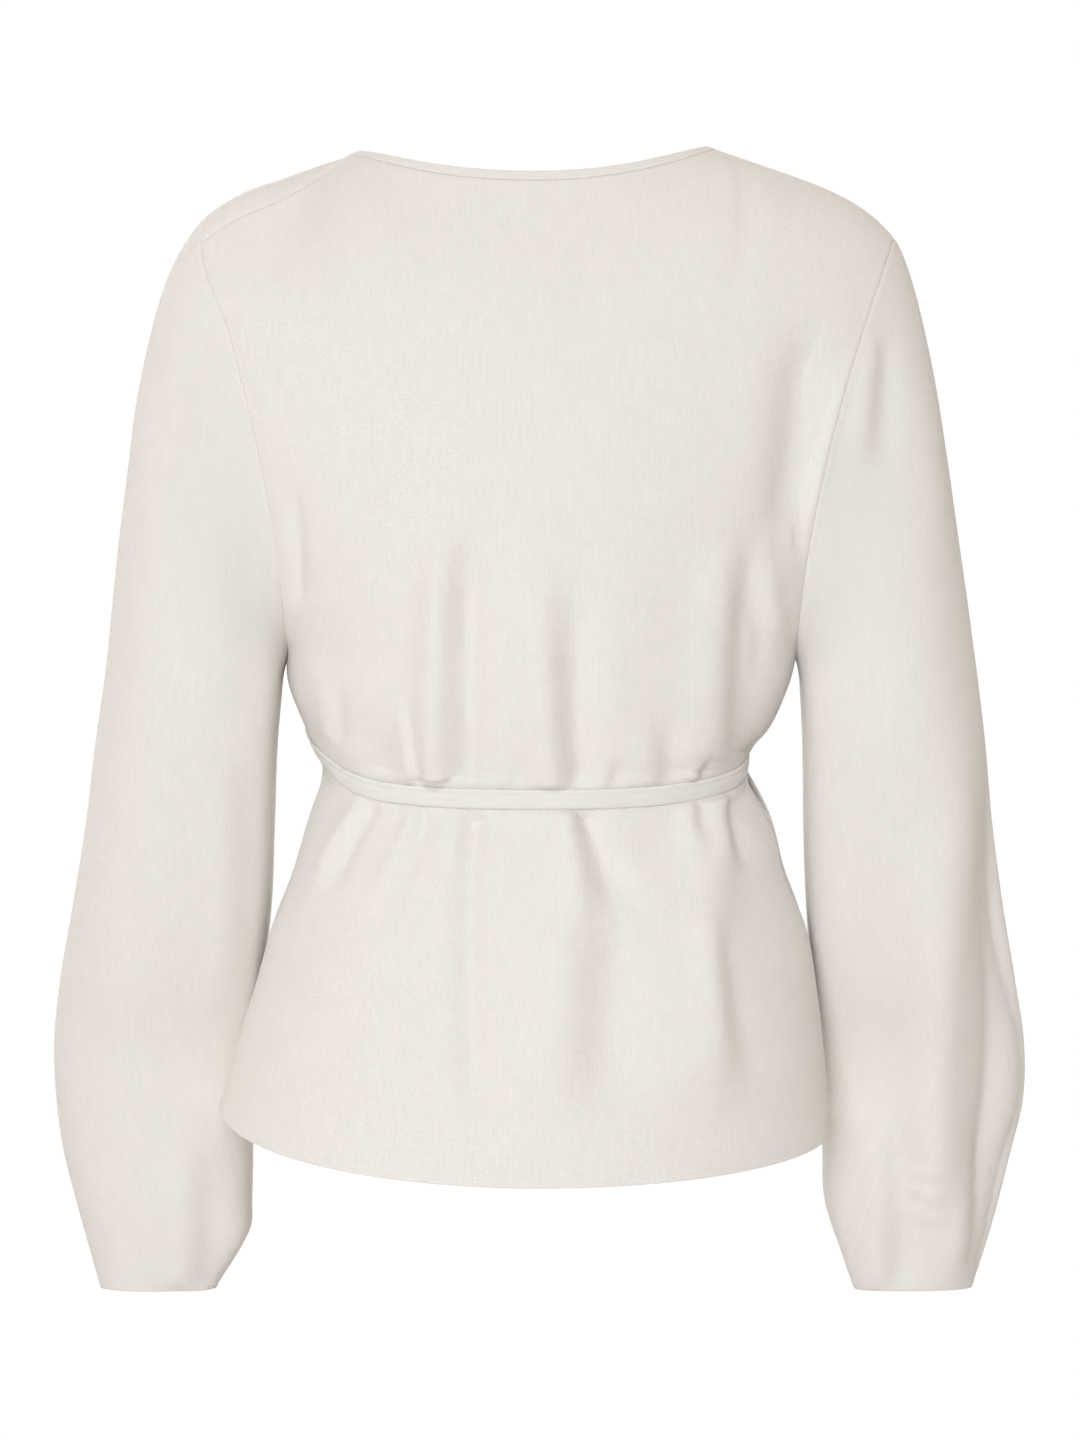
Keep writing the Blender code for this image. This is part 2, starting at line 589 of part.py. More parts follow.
def tie_back_rings():
    """The long tie, as far as the knot."""
    back_ways = [Way(BACK, a, WAIST_UP, TIE_LIFT) for a in np.arange(0.48, -0.97, -TIE_STEP)]
    side = [Way(BACK, -1.0, WAIST_UP, TIE_LIFT - 0.2)]
    front = [Way(FRONT, a, WAIST_UP, TIE_OVER_FRONT) for a in (-0.955, -0.91, -0.865)]
    line, out = on_body(TIE_START + back_ways + side + front)
    place, along, up, _ = knot_frame()
    line = np.concatenate([line, [place + along * (KNOT_SIZE[0] / 2 + SEAM_GAP) - knot_sink()]])
    out = np.concatenate([out, out[-1:]])
    wide = np.cross(out, np.gradient(line, axis=0))
    return strip_rings(line, wide, out, TIE_WIDTH, TIE_THICK)


def knot_frame():
    """Where the knot sits, with its directions toward the side seam, up and out."""
    line, out = on_body([Way(FRONT, KNOT_ACROSS, WAIST_UP, KNOT_LIFT)])
    near, _ = on_body([Way(FRONT, KNOT_ACROSS - 0.02, WAIST_UP, KNOT_LIFT)])
    along = unit(near[0] - line[0])
    up = unit(np.cross(along, out[0]))
    up = up if up[2] > 0 else -up
    return line[0], along, up, out[0]


def knot_sink():
    """From the knot's middle down to the level at which the ties run over the front."""
    return knot_frame()[3] * (KNOT_LIFT - TIE_OVER_FRONT)


def tie_front_rings():
    """The short tie from the upper front's band to the knot."""
    place, along, up, out = knot_frame()
    edge = reach_of(LEFT, WAIST_UP)
    start, start_out = on_body([Way(FRONT, edge, WAIST_UP, WRAP_LIFT)])
    spot = unit(start[0] - place)
    start = start[0] - spot * (BAND_WIDTH * BAND_SLANT + SEAM_GAP)
    end = place - along * (KNOT_SIZE[0] / 2 + SEAM_GAP) - knot_sink()
    line = np.array([start, (start + end) / 2, end])
    outs = np.array([start_out[0], out, out])
    return strip_rings(line, np.array([up, up, up]), outs, TIE_WIDTH, TIE_THICK)


def tie_end_rings(end):
    """One hanging end, from under the knot down over the flared part."""
    place, along, up, out = knot_frame()
    t = np.linspace(0, 1, END_STEPS)[1:]
    ways = [Way(FRONT, end.top + (end.bottom - end.top) * s, 0.68 + (end.up - 0.68) * s, end.lift) for s in t]
    line, outs = on_body(ways)
    shift = np.dot(line[0] - place, along)
    top = place + along * shift - up * (KNOT_SIZE[1] / 2 + SEAM_GAP) + out * (end.lift - KNOT_LIFT)
    line = np.concatenate([[top], line])
    outs = np.concatenate([[out], outs])
    wide = np.cross(outs, np.gradient(line, axis=0))
    wide[0] = along * np.sign(np.dot(wide[0], along))
    return strip_rings(line, wide, outs, TIE_WIDTH, TIE_THICK)


def knot(name):
    """The flat knot, a rounded block of its outer shape."""
    place, along, up, out = knot_frame()

    def make(bm):
        bmesh.ops.create_cube(bm, size=1.0)
        for vert in bm.verts:
            x, y, z = vert.co
            spot = place + along * x * KNOT_SIZE[0] + up * y * KNOT_SIZE[1] + out * z * KNOT_SIZE[2]
            vert.co = spot * MM
        bmesh.ops.bevel(bm, geom=bm.edges[:], offset=KNOT_BEVEL * MM, segments=2, profile=0.5,
                        affect="EDGES", material=-1)
    return new_object(name, make, (0.84, 0.79, 0.72, 1.0))


# ------------------------------------------------------------------ the cardigan
for leftover in list(bpy.data.objects):
    bpy.data.objects.remove(leftover, do_unlink=True)
CARDIGAN = bpy.data.collections.new("wrap_cardigan")
bpy.context.scene.collection.children.link(CARDIGAN)

back, left, right = back_grid(), front_grid(LEFT), front_grid(RIGHT)
share_shoulder(back, left, slice(-1, -SHOULDER_COLUMNS - 2, -1))
share_shoulder(back, right, slice(0, SHOULDER_COLUMNS + 1))
armholes = {}
for side, front, name in ((LEFT, left, "sleeve_left"), (RIGHT, right, "sleeve_right")):
    middle, offset, mitre, part = sleeve_grid(side, back, front)
    rounds = [np.concatenate([middle[:, k] + offset[:, k], (middle[:, k] - offset[:, k])[::-1]])
              for k in range(middle.shape[1])]
    loft(name, rounds, closed=True)
    steps = len(ARMHOLE_UPS)
    armholes[side] = ((mitre[:steps], part[:steps]),
                      (np.concatenate([mitre[:1], mitre[:steps - 2:-1]]),
                       np.concatenate([part[:1], part[:steps - 2:-1]])))

side_rows = slice(0, len(SEAM_UPS) + 1)
all_rows = slice(0, None)
loft("back", wall_rings(*body_wall(
    back, [(0, 1, side_rows), (-1, -2, side_rows)], (0, None),
    [(-1, *armholes[LEFT][0]), (0, *armholes[RIGHT][0])])))
loft("front_left", wall_rings(*body_wall(
    left, [(0, 1, side_rows), (-1, -2, all_rows)], (0, None), [(0, *armholes[LEFT][1])])))
loft("front_right", wall_rings(*body_wall(
    right, [(0, 1, side_rows), (-1, -2, all_rows)], (0, None), [(0, *armholes[RIGHT][1])])))
loft("neck_band", band_rings(back, left, right))
loft("tie_back", tie_back_rings())
loft("tie_front", tie_front_rings())
for end in TIE_ENDS:
    loft(end.name, tie_end_rings(end))
knot("tie_knot")
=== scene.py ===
# %% [markdown]
# # A wrap cardigan in fine knit
# The real garment is seven cut pieces of a dense, fine knit: a back, two fronts that wrap over each
# other, two balloon sleeves, a narrow band round the neck and down both front edges, and a flat tie.
# It is shown filled out, as it hangs on a wearer, and seen from behind. This lesson starts from the
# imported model, which holds every piece at its real size, and makes each one again as a thin shell of
# cloth with its folds, seams and knit.

# %% Load the frame
from collections import namedtuple

import bmesh
import bpy
import numpy as np
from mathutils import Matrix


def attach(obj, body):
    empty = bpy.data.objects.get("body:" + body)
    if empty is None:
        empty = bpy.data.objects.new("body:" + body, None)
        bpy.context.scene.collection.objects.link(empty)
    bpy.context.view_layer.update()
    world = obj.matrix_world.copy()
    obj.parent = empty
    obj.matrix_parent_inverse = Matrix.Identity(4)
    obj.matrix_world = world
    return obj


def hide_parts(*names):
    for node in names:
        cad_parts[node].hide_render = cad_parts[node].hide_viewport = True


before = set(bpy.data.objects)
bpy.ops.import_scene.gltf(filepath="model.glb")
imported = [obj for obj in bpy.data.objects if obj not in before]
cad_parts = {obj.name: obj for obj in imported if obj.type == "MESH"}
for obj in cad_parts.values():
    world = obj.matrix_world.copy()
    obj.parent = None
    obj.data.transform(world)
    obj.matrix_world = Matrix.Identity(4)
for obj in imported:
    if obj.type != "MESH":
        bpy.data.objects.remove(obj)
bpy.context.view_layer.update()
print("pieces in the frame:", sorted(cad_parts))

# %% [markdown]
# ## Units and sizes
# Cloth is easiest to think about in millimetres, so every table here is in millimetres and the meshes
# are scaled to metres when they are made. +X is the wearer's left, +Y the wearer's back, +Z is up, and
# the origin lies between the two neck points. The solids were made with these sizes too, but for the
# tie, which is a little wider here.

# %% Sizes
MM = 0.001
BACK, FRONT = 1, -1
LEFT, RIGHT = 1, -1
CLOTH = 1.6              # thickness of the knit
SEAM_GAP = 0.06          # room between two pieces that are linked together
BAND_WIDTH = 6.0         # band round the neck and down the front edges
BAND_THICK = 2.3
TIE_WIDTH = 11.0
TIE_THICK = 3.0
WRAP_LIFT = 2.3          # how far each front moves off the body where the two overlap
print("cloth", CLOTH, "mm, band", BAND_WIDTH, "mm, tie", TIE_WIDTH, "mm")

# %% [markdown]
# ## The camera
# The garment is seen square from behind, at the height of the waist, with a long lens, so that
# neither shoulder nor hem is stretched. The camera comes first because everything else is judged
# through it. A 3 m distance and a narrow angle keep the picture nearly flat.

# %% Camera
CAMERA_DISTANCE, CAMERA_HEIGHT = 3.0, -0.331
SEEN_HEIGHT = 0.8316     # metres of the garment's plane that fill the picture's height
SENSOR = 32.0


def new_object(name, data):
    """An object with this data, put into the scene."""
    made = bpy.data.objects.new(name, data)
    bpy.context.scene.collection.objects.link(made)
    return made


camera_data = bpy.data.cameras.new("camera")
camera_data.sensor_fit = "VERTICAL"
camera_data.sensor_width = camera_data.sensor_height = SENSOR
camera_data.lens = SENSOR * CAMERA_DISTANCE / SEEN_HEIGHT
camera = new_object("camera", camera_data)
camera.location = (0.0, CAMERA_DISTANCE, CAMERA_HEIGHT)
camera.rotation_euler = (np.pi / 2, 0.0, np.pi)
bpy.context.scene.camera = camera
print("lens", round(camera_data.lens, 1), "mm")

# %% [markdown]
# ## Small helpers for curves
# A garment's outline is smooth between a few measured places, so all the tables below hold only
# those places and a smooth curve is laid through them. `hermite` draws the cloth between two
# places when the direction in which it leaves and arrives is known.


# %% Curve helpers
def unit(vectors):
    """Vectors of length one."""
    return vectors / np.maximum(np.linalg.norm(vectors, axis=-1, keepdims=True), 1e-9)


def point(x, y, z):
    """Stack three coordinate arrays into points."""
    return np.stack(np.broadcast_arrays(x, y, z), axis=-1).astype(float)


def same_shape(across, up):
    """Places across and up as arrays of one shape."""
    return np.broadcast_arrays(np.asarray(across, float), np.asarray(up, float))


def bell(distance, width, middle=0.0):
    """1 at the middle, falling away evenly on both sides."""
    return np.exp(-((distance - middle) / width) ** 2)


def smooth_step(value):
    """0 below 0, 1 above 1, and an even S between."""
    t = np.clip(value, 0.0, 1.0)
    return t * t * (3 - 2 * t)


def curve_through(knots, values, at):
    """A smooth curve through the values, read at any places."""
    knots, values = np.asarray(knots, float), np.asarray(values, float)
    slopes = np.gradient(values, knots)
    k = np.clip(np.searchsorted(knots, at) - 1, 0, len(knots) - 2)
    step = knots[k + 1] - knots[k]
    t = (at - knots[k]) / step
    return (values[k] * (1 + 2 * t) * (1 - t) ** 2 + values[k + 1] * t * t * (3 - 2 * t)
            + step * (slopes[k] * t * (1 - t) ** 2 - slopes[k + 1] * t * t * (1 - t)))


def quarter_wave(t):
    """0 before 0, leaving at once and levelling off at 1."""
    return np.sin(np.pi / 2 * np.clip(t, 0, 1))


def hermite(start, start_run, end, end_run, t):
    """The curve that leaves start along start_run and arrives at end along end_run."""
    t = np.asarray(t, float)[..., None]
    return (start * (1 + 2 * t) * (1 - t) ** 2 + end * t * t * (3 - 2 * t)
            + start_run * t * (1 - t) ** 2 - end_run * t * t * (1 - t))


print("halfway along an S curve:", smooth_step(0.5))

# %% [markdown]
# ## The body's surface
# Back and fronts lie on one smooth surface. A place on it has a `face`, a share `across` from -1 at
# the right seam to 1 at the left, and a height `up`: 0 at the hem, 1 at the underarm and 2 at the
# shoulder seam and neck. Up to the underarm it is a stack of closed rounds. Above it the rows fan
# out to the armholes, and the last stretch runs over the shoulder.

# %% Rounds of the body
# Heights at the centre back and at each side, half widths to each side, depths to back and front.
Round = namedtuple("Round", "back_z left_z right_z left right back front")
ROUNDS = [
    Round(-591, -553, -566, 184.0, 167.0, 118, 112),     # hem
    Round(-548, -520, -527, 174.5, 163.5, 113, 109),
    Round(-505, -483, -487, 163.0, 159.0, 107, 105),
    Round(-465, -449, -452, 153.5, 153.0, 101, 101),
    Round(-428, -416, -419, 141.0, 140.5, 93, 95),
    Round(-400, -384, -387, 131.5, 131.5, 84.5, 91),
    Round(-385, -365, -366, 125.2, 119.0, 79, 87),       # waist, held flat under the tie
    Round(-371, -351, -351, 125.6, 119.0, 79, 88),
    Round(-354, -335, -336, 134.0, 131.0, 84.5, 95),
    Round(-330, -312, -313, 143.5, 141.5, 91.5, 105),
    Round(-296, -291, -291, 145.5, 147.5, 96, 114),      # underarm
]
ROUND_CURVE = 0.3        # how much longer the waist stays low before it rises to the side seams
FRONT_RISE = 0.5         # how much of the back's dip is taken up again towards the centre front
HEM_Z, UNDER_BACK_Z = ROUNDS[0].back_z, ROUNDS[-1].back_z
ROUND_UP = [(r.back_z - HEM_Z) / (UNDER_BACK_Z - HEM_Z) for r in ROUNDS]
WAIST_UP = (ROUND_UP[6] + ROUND_UP[7]) / 2
print("the tie lies at", round(WAIST_UP, 3), "of the way up to the underarm")

# %% Yoke, armholes, shoulders and neck
# The centre line above the underarm; turn is the angle round the armhole at that row's other end.
Yoke = namedtuple("Yoke", "turn back_y back_z front_y front_z")
YOKE = [
    Yoke(45, 97, -247, 117, -238),
    Yoke(90, 94, -186, 105, -176),
    Yoke(120, 87, -136, 90, -128),
]
YOKE_UP = [1 + y.turn / 180 for y in YOKE]
YOKE_TOP = YOKE_UP[-1]
# Each armhole: distance of its lowest and highest point from the centre, and its depths.
Armhole = namedtuple("Armhole", "under top")
ARMHOLE = {LEFT: Armhole(145.5, 195.0), RIGHT: Armhole(147.5, 204.0)}
ARMHOLE_DEPTH = {BACK: 55.0, FRONT: 62.0}
UNDERARM_Z, ARMHOLE_TOP_Z, ARMHOLE_CURVE = -291.0, -54.0, 1.65
# Each shoulder seam: where it starts and ends, how far it is set behind and below the ridge of the
# shoulder, and the slope of the cloth there.
Shoulder = namedtuple("Shoulder", "neck_x tip_x set_back set_down tilt")
SHOULDER = {LEFT: Shoulder(109.0, 193.5, 24.0, 15.0, 1.05),
            RIGHT: Shoulder(101.5, 203.5, 0.0, 0.0, 0.0)}
SEAM_SWING = 0.55        # share of the shoulder over which the seam swings back from the neck
TILT_SWING = 0.14        # and over which the front takes up its slope
CORNER_SLIM, CORNER_REACH = 0.34, 0.15   # the back is held flatter under that neck corner
# Where the seam lies behind the ridge, the front comes over it with this run, from neck to tip.
OVER_ALONG, OVER_RUN = (0, 0.08, 0.2, 0.34, 0.5, 1), (130, 92, 124, 163, 179, 168)
RIDGE_START_X, RIDGE_SPAN = 100.0, 104.0
RIDGE_Z, RIDGE_FALL, RIDGE_DROP = -2.0, 36.5, 15.5
NECK_CENTRE = (3.0, 47.0, -24.2)     # middle of the back neck seam
NECK_SHARE = 0.47                    # part of each half back that belongs to the neck
NECK_CURVE = 2.15
# How the cloth runs up to these seams: the last stretch as a share of the straight way, and where the
# front's longer run sets in beside the neck; the lean in and up at the neck corner, and how far along
# the shoulder that lasts; and the lean in and up at the middle of the neck.
RUN_SHARE, OVER_FADE = 1.15, 0.1
LEAN_IN, LEAN_UP, LEAN_REACH = -0.46, 0.2, 0.2
CENTRE_IN, CENTRE_UP = -0.4, 0.92
print("shoulders from", SHOULDER[RIGHT].tip_x, "to", SHOULDER[LEFT].tip_x, "mm off the centre")


# %% Surface of the body
def round_size(side, up, left_name, right_name):
    """A size of the rounds at each place's own side."""
    left = curve_through(ROUND_UP, [getattr(r, left_name) for r in ROUNDS], up)
    right = curve_through(ROUND_UP, [getattr(r, right_name) for r in ROUNDS], up)
    return np.where(side > 0, left, right)


def centre_line(face, up):
    """Depth and height of the centre back or centre front."""
    if face == BACK:
        depth = [r.back for r in ROUNDS] + [y.back_y for y in YOKE]
        height = [r.back_z for r in ROUNDS] + [y.back_z for y in YOKE]
    else:
        sides = [(r.left_z + r.right_z) / 2 for r in ROUNDS]
        depth = [r.front for r in ROUNDS] + [y.front_y for y in YOKE]
        height = [s + FRONT_RISE * (s - r.back_z) for s, r in zip(sides, ROUNDS)]
        height += [y.front_z for y in YOKE]
    knots = ROUND_UP + YOKE_UP
    return curve_through(knots, depth, up), curve_through(knots, height, up)


def of_side(table, side, name):
    """A size of the armholes or shoulders at each place's own side."""
    return np.where(side > 0, getattr(table[LEFT], name), getattr(table[RIGHT], name))


def armhole_point(face, side, up):
    """The armhole up to the top of the yoke."""
    turn = (np.maximum(up, 1) - 1) * np.pi
    rise = (1 - np.cos(turn)) / 2
    under, top = of_side(ARMHOLE, side, "under"), of_side(ARMHOLE, side, "top")
    x = under + (top - under) * rise ** ARMHOLE_CURVE
    return x, ARMHOLE_DEPTH[face] * np.sin(turn), UNDERARM_Z + (ARMHOLE_TOP_Z - UNDERARM_Z) * rise


def row_point(face, side, share, up):
    """A point of the rows below the top of the yoke; share runs 0 at the centre to 1 at the edge."""
    depth, height = centre_line(face, up)
    low = np.minimum(up, 1)
    edge_x, edge_y, edge_z = armhole_point(face, side, up)
    edge_x = np.where(up < 1, round_size(side, low, "left", "right"), edge_x)
    edge_z = np.where(up < 1, round_size(side, low, "left_z", "right_z"), edge_z)
    sweep = np.arccos(np.clip(edge_y / depth, -1, 1))
    angle = share * sweep
    fall = (1 - np.cos(angle)) / (1 - np.cos(sweep))
    x = side * edge_x * np.sin(angle) / np.sin(sweep)
    rise = fall ** (1 + ROUND_CURVE * smooth_step(up / WAIST_UP) * smooth_step((1 - up) / 0.2))
    return point(x, face * (depth + (edge_y - depth) * fall), height + (edge_z - height) * rise)


def ridge_z(x):
    """Height of the shoulder's ridge at a distance from the centre."""
    out = (x - RIDGE_START_X) / RIDGE_SPAN
    return RIDGE_Z - RIDGE_FALL * out - RIDGE_DROP * np.maximum(out, 0) ** 6


def top_point(face, side, share):
    """The neck seam, and beyond it the shoulder seam."""
    neck_x = of_side(SHOULDER, side, "neck_x")
    centre_x, centre_y, centre_z = NECK_CENTRE
    turn = np.pi / 2 * np.minimum(share / NECK_SHARE, 1)
    neck_z = ridge_z(neck_x)
    neck = point(side * (side * centre_x + (neck_x - side * centre_x) * np.sin(turn)),
                 face * centre_y * np.cos(turn),
                 centre_z + (neck_z - centre_z) * np.sin(turn) ** NECK_CURVE)
    along = np.clip((share - NECK_SHARE) / (1 - NECK_SHARE), 0, 1)
    x = neck_x + (of_side(SHOULDER, side, "tip_x") - neck_x) * along
    set_off = quarter_wave(along / SEAM_SWING)
    seam = point(side * x, of_side(SHOULDER, side, "set_back") * set_off,
                 ridge_z(x) - of_side(SHOULDER, side, "set_down") * set_off)
    return np.where((share <= NECK_SHARE)[..., None], neck, seam)


def top_run(face, side, share):
    """The direction in which the cloth reaches the neck seam or the shoulder seam."""
    none = 0 * side
    neck_lean = point(LEAN_IN * side, none, LEAN_UP)
    along = np.clip((share - NECK_SHARE) / (1 - NECK_SHARE), 0, 1)
    swing = SEAM_SWING if face == BACK else TILT_SWING
    tilt = of_side(SHOULDER, side, "tilt") * quarter_wave(along / swing)
    shoulder = point(none, -face * np.cos(tilt), face * np.sin(tilt))
    shoulder = shoulder + neck_lean * bell(along, LEAN_REACH)[..., None]
    near = (np.minimum(share / NECK_SHARE, 1) ** 2)[..., None]
    centre = point(none, CENTRE_IN * face, CENTRE_UP)
    neck = centre * (1 - near) + (point(none, -face, none) + neck_lean) * near
    return unit(np.where((share <= NECK_SHARE)[..., None], neck, shoulder))


def body(face, across, up):
    """A point of the body's smooth surface."""
    across, up = same_shape(across, up)
    side = np.where(across >= 0, 1.0, -1.0)
    share = np.abs(across)
    low = row_point(face, side, share, np.minimum(up, YOKE_TOP))
    start = row_point(face, side, share, np.full(up.shape, YOKE_TOP))
    before = row_point(face, side, share, np.full(up.shape, YOKE_TOP - 0.01))
    end = top_point(face, side, share)
    chord = np.linalg.norm(end - start, axis=-1, keepdims=True)
    t = np.clip((up - YOKE_TOP) / (2 - YOKE_TOP), 0, 1)
    along = (share - NECK_SHARE) / (1 - NECK_SHARE)
    plain_run = chord[..., 0] * RUN_SHARE
    over_run = curve_through(OVER_ALONG, OVER_RUN, np.clip(along, 0, 1))
    over_run = plain_run + (over_run - plain_run) * smooth_step(1 + along / OVER_FADE)
    set_back = of_side(SHOULDER, side, "tilt") > 0
    last = np.where((face == FRONT) & set_back, over_run, plain_run)[..., None]
    if face == BACK:
        slim = set_back * CORNER_SLIM * bell(share, CORNER_REACH, NECK_SHARE)
        last = last * (1 - slim[..., None])
    high = hermite(start, unit(start - before) * chord, end, top_run(face, side, share) * last, t)
    return np.where((up <= YOKE_TOP)[..., None], low, high)


def body_normal(face, across, up):
    """The outward direction of the body's surface."""
    across, up = same_shape(across, up)
    d = 1e-3
    run_across = body(face, np.minimum(across + d, 1), up) - body(face, np.maximum(across - d, -1), up)
    run_up = body(face, across, np.minimum(up + d, 2)) - body(face, across, np.maximum(up - d, 0))
    return unit(np.cross(run_up, run_across)) * face


print("centre back at the waist:", body(BACK, 0.0, WAIST_UP).round(1), "mm")

# %% [markdown]
# ## Folds placed one by one
# Fine knit doesn't crease sharply: it gathers into soft flutes where the tie draws it in, and drags
# under the arms. Each row of a table is one fold, a curve through three places seen square on. A
# `ridge` lifts the cloth or, when negative, sinks it; a `turn` makes one side stand above the other, as
# where a flute leans over. Each fold has its own width at both ends and fades out as it goes.

# %% Fold tables
Fold = namedtuple("Fold", "x1 z1 x2 z2 x3 z3 start_width end_width ridge turn fade_in fade_out")


def fold_table(*rows):
    """Folds from rows of three places, two widths, ridge, turn and the two fades."""
    return [Fold(*row) for row in rows]


BACK_FOLDS = fold_table(
    # gathers above the tie
    (45, -205, 49, -290, 49, -366, 8.5, 9.5, 0, 8, 0.4, 0.05),
    (77, -315, 73, -344, 69, -366, 3.2, 2.8, 0, 2.2, 0.45, 0),
    (34, -342, 34, -356, 34, -367, 3, 2.4, 1.2, 0, 0.7, 0),
    (16, -350, 16, -359, 15, -367, 4, 3.5, 0, 1.4, 0.6, 0),
    (-8, -222, -11, -310, -15, -366, 12, 8, 0, 6, 0.45, 0),
    (-41, -350, -40, -359, -38, -367, 3.6, 3.6, 0, 1.4, 0.6, 0),
    (-60, -326, -66, -350, -68, -366, 8, 7, 0, 2.6, 0.5, 0),
    (-80, -332, -82, -350, -84, -364, 5, 4, 1.8, 0, 0.5, 0.1),
    (-92, -344, -91, -354, -88, -364, 3.2, 3.2, 0, 1.8, 0.5, 0),
    (118, -305, 118, -325, 117, -346, 4.5, 4, 0, 2, 0.5, 0.2),
    (97, -335, 98, -350, 99, -362, 9, 8, 0, 2.2, 0.5, 0.2),
    (80, -340, 79, -354, 79, -366, 4, 3, 1.3, 0, 0.6, 0),
    # drag lines under the right arm
    (-150, -95, -148, -165, -136, -245, 17, 15, -10, 0, 0.35, 0.3),
    (-114, -212, -108, -290, -106, -360, 9, 13, 0, 4.8, 0.35, 0.1),
    (-124, -225, -130, -262, -135, -302, 6, 8, 4, 0, 0.45, 0.35),
    (-121, -262, -123, -285, -122, -312, 3, 3.4, 0, 1.1, 0.5, 0.4),
    # hollow beside the left armhole
    (139, -185, 137, -235, 137, -266, 5.5, 4, -3.4, 0, 0.4, 0.15),
    (154, -150, 147, -146, 134, -152, 5, 5, -2.2, 0, 0.35, 0.6),
    (129, -285, 130, -300, 127, -325, 7, 6, 1.3, 0, 0.45, 0.45),
    # flutes below the tie
    (97, -377, 110, -399, 130, -438, 3.6, 5, 0, 3.4, 0, 0.35),
    (70, -380, 73, -402, 94, -440, 3.2, 5.5, 0, 3, 0, 0.45),
    (41, -382, 42, -398, 50, -416, 4.5, 7, 0, 2, 0, 0.7),
    (40, -382, 41, -475, 35, -568, 7, 10, -5.8, 1, 0, 0.25),
    (-19, -379, -27, -412, -38, -456, 5, 14, 0, 6, 0, 0.35),
    (-31, -436, -26, -487, -22, -566, 14, 18, 0, 5.4, 0.3, 0.3),
    (-29, -384, -45, -408, -70, -440, 6, 12, 1.4, 0, 0.1, 0.6),
    (-86, -381, -87, -395, -92, -412, 3.6, 6, 0, 2.5, 0, 0.55),
    (-105, -379, -106, -398, -117, -424, 4, 7, 0, 2.8, 0, 0.45),
    (-110, -375, -110, -382, -111, -392, 2.4, 2.4, 1.3, 0, 0, 0.6),
    (-97, -432, -102, -487, -114, -555, 6, 9, 0, 2.2, 0.3, 0.4),
    (-96, -380, -97, -440, -96, -566, 12, 19, 6, 1.5, 0, 0.2),
)
FRONT_FOLDS = fold_table(
    # the wrap drawn across to the knot
    (60, -262, -10, -300, -84, -344, 12, 5, -3.9, 0, 0.5, 0.1),
    (95, -300, 20, -330, -80, -352, 11, 5, -3.3, 1.2, 0.55, 0.1),
    (112, -332, 40, -348, -76, -360, 8, 4, 2.4, 0, 0.5, 0.1),
    (20, -235, -30, -275, -82, -338, 10, 5, 2.2, 0, 0.6, 0.1),
    (-128, -205, -124, -250, -112, -330, 8, 8, -4.5, 0, 0.4, 0.3),
    (136, -190, 133, -240, 126, -300, 8, 8, -4.2, 0, 0.4, 0.4),
    # flutes below it
    (-74, -374, -66, -420, -52, -500, 5, 10, 0, -3.3, 0, 0.5),
    (-50, -366, -34, -420, -20, -524, 5, 10, 0, 3, 0.05, 0.4),
    (-12, -362, 2, -430, 12, -530, 6, 11, 0, -2.7, 0.05, 0.4),
    (30, -358, 42, -410, 60, -505, 5, 10, 0, 3.3, 0.05, 0.45),
    (74, -356, 88, -400, 108, -470, 5, 9, 0, -2.2, 0.2, 0.5),
    (-98, -372, -112, -410, -124, -470, 4, 8, 0, 2.7, 0, 0.5),
)
print(len(BACK_FOLDS), "folds on the back,", len(FRONT_FOLDS), "on the fronts")


# %% How a fold pushes the cloth
TIE_CALM = (5.0, 11.0)   # folds are pressed flat this near the tie, and free beyond
TIE_RISE = 0.0078        # the tie's middle lies this share above the narrowest round
TIE_LEVEL = WAIST_UP + TIE_RISE
EDGE_CALM = 9.0          # they die away this near a seam
FOLD_STEPS, FOLD_REACH = 25, 3.5     # places looked at along a fold, and widths at which it has ended


def fold_push(x, z, folds):
    """How far the folds push the cloth out at places seen square on."""
    t = np.linspace(0, 1, FOLD_STEPS)
    push = np.zeros(x.shape)
    for f in folds:
        a, b, c = (1 - t) * (1 - 2 * t), 4 * t * (1 - t), t * (2 * t - 1)
        curve_x, curve_z = a * f.x1 + b * f.x2 + c * f.x3, a * f.z1 + b * f.z2 + c * f.z3
        run_x, run_z = np.gradient(curve_x), np.gradient(curve_z)
        length = np.hypot(run_x, run_z)
        reach = FOLD_REACH * max(f.start_width, f.end_width)
        near = ((x > curve_x.min() - reach) & (x < curve_x.max() + reach)
                & (z > curve_z.min() - reach) & (z < curve_z.max() + reach))
        if not near.any():
            continue
        off_x, off_z = x[near][:, None] - curve_x, z[near][:, None] - curve_z
        k = np.argmin(off_x ** 2 + off_z ** 2, axis=1)
        pick = np.arange(len(k))
        dx, dz = off_x[pick, k], off_z[pick, k]
        beside = (dx * run_z[k] - dz * run_x[k]) / length[k]
        ahead = (dx * run_x[k] + dz * run_z[k]) / length[k]
        ahead = np.where((k == 0) | (k == len(t) - 1), ahead, 0.0)
        width = f.start_width + (f.end_width - f.start_width) * t[k]
        gone = (beside ** 2 + ahead ** 2) / width ** 2
        strength = np.ones(len(k))
        if f.fade_in:
            strength *= smooth_step(t[k] / f.fade_in)
        if f.fade_out:
            strength *= smooth_step((1 - t[k]) / f.fade_out)
        shape = f.ridge * np.exp(-gone) + f.turn * beside / width * -np.exp(0.5 - gone / 2)
        push[near] += strength * shape
    return push


def slackness(x, z):
    """Very shallow waves all over, because knit is never quite flat."""
    return (0.55 * np.sin(x / 31 + 1.3 * np.sin(z / 83)) * np.sin(z / 57 + 0.7)
            + 0.35 * np.sin(x / 17 - z / 71 + 2.1) * np.sin(z / 39 + x / 97))


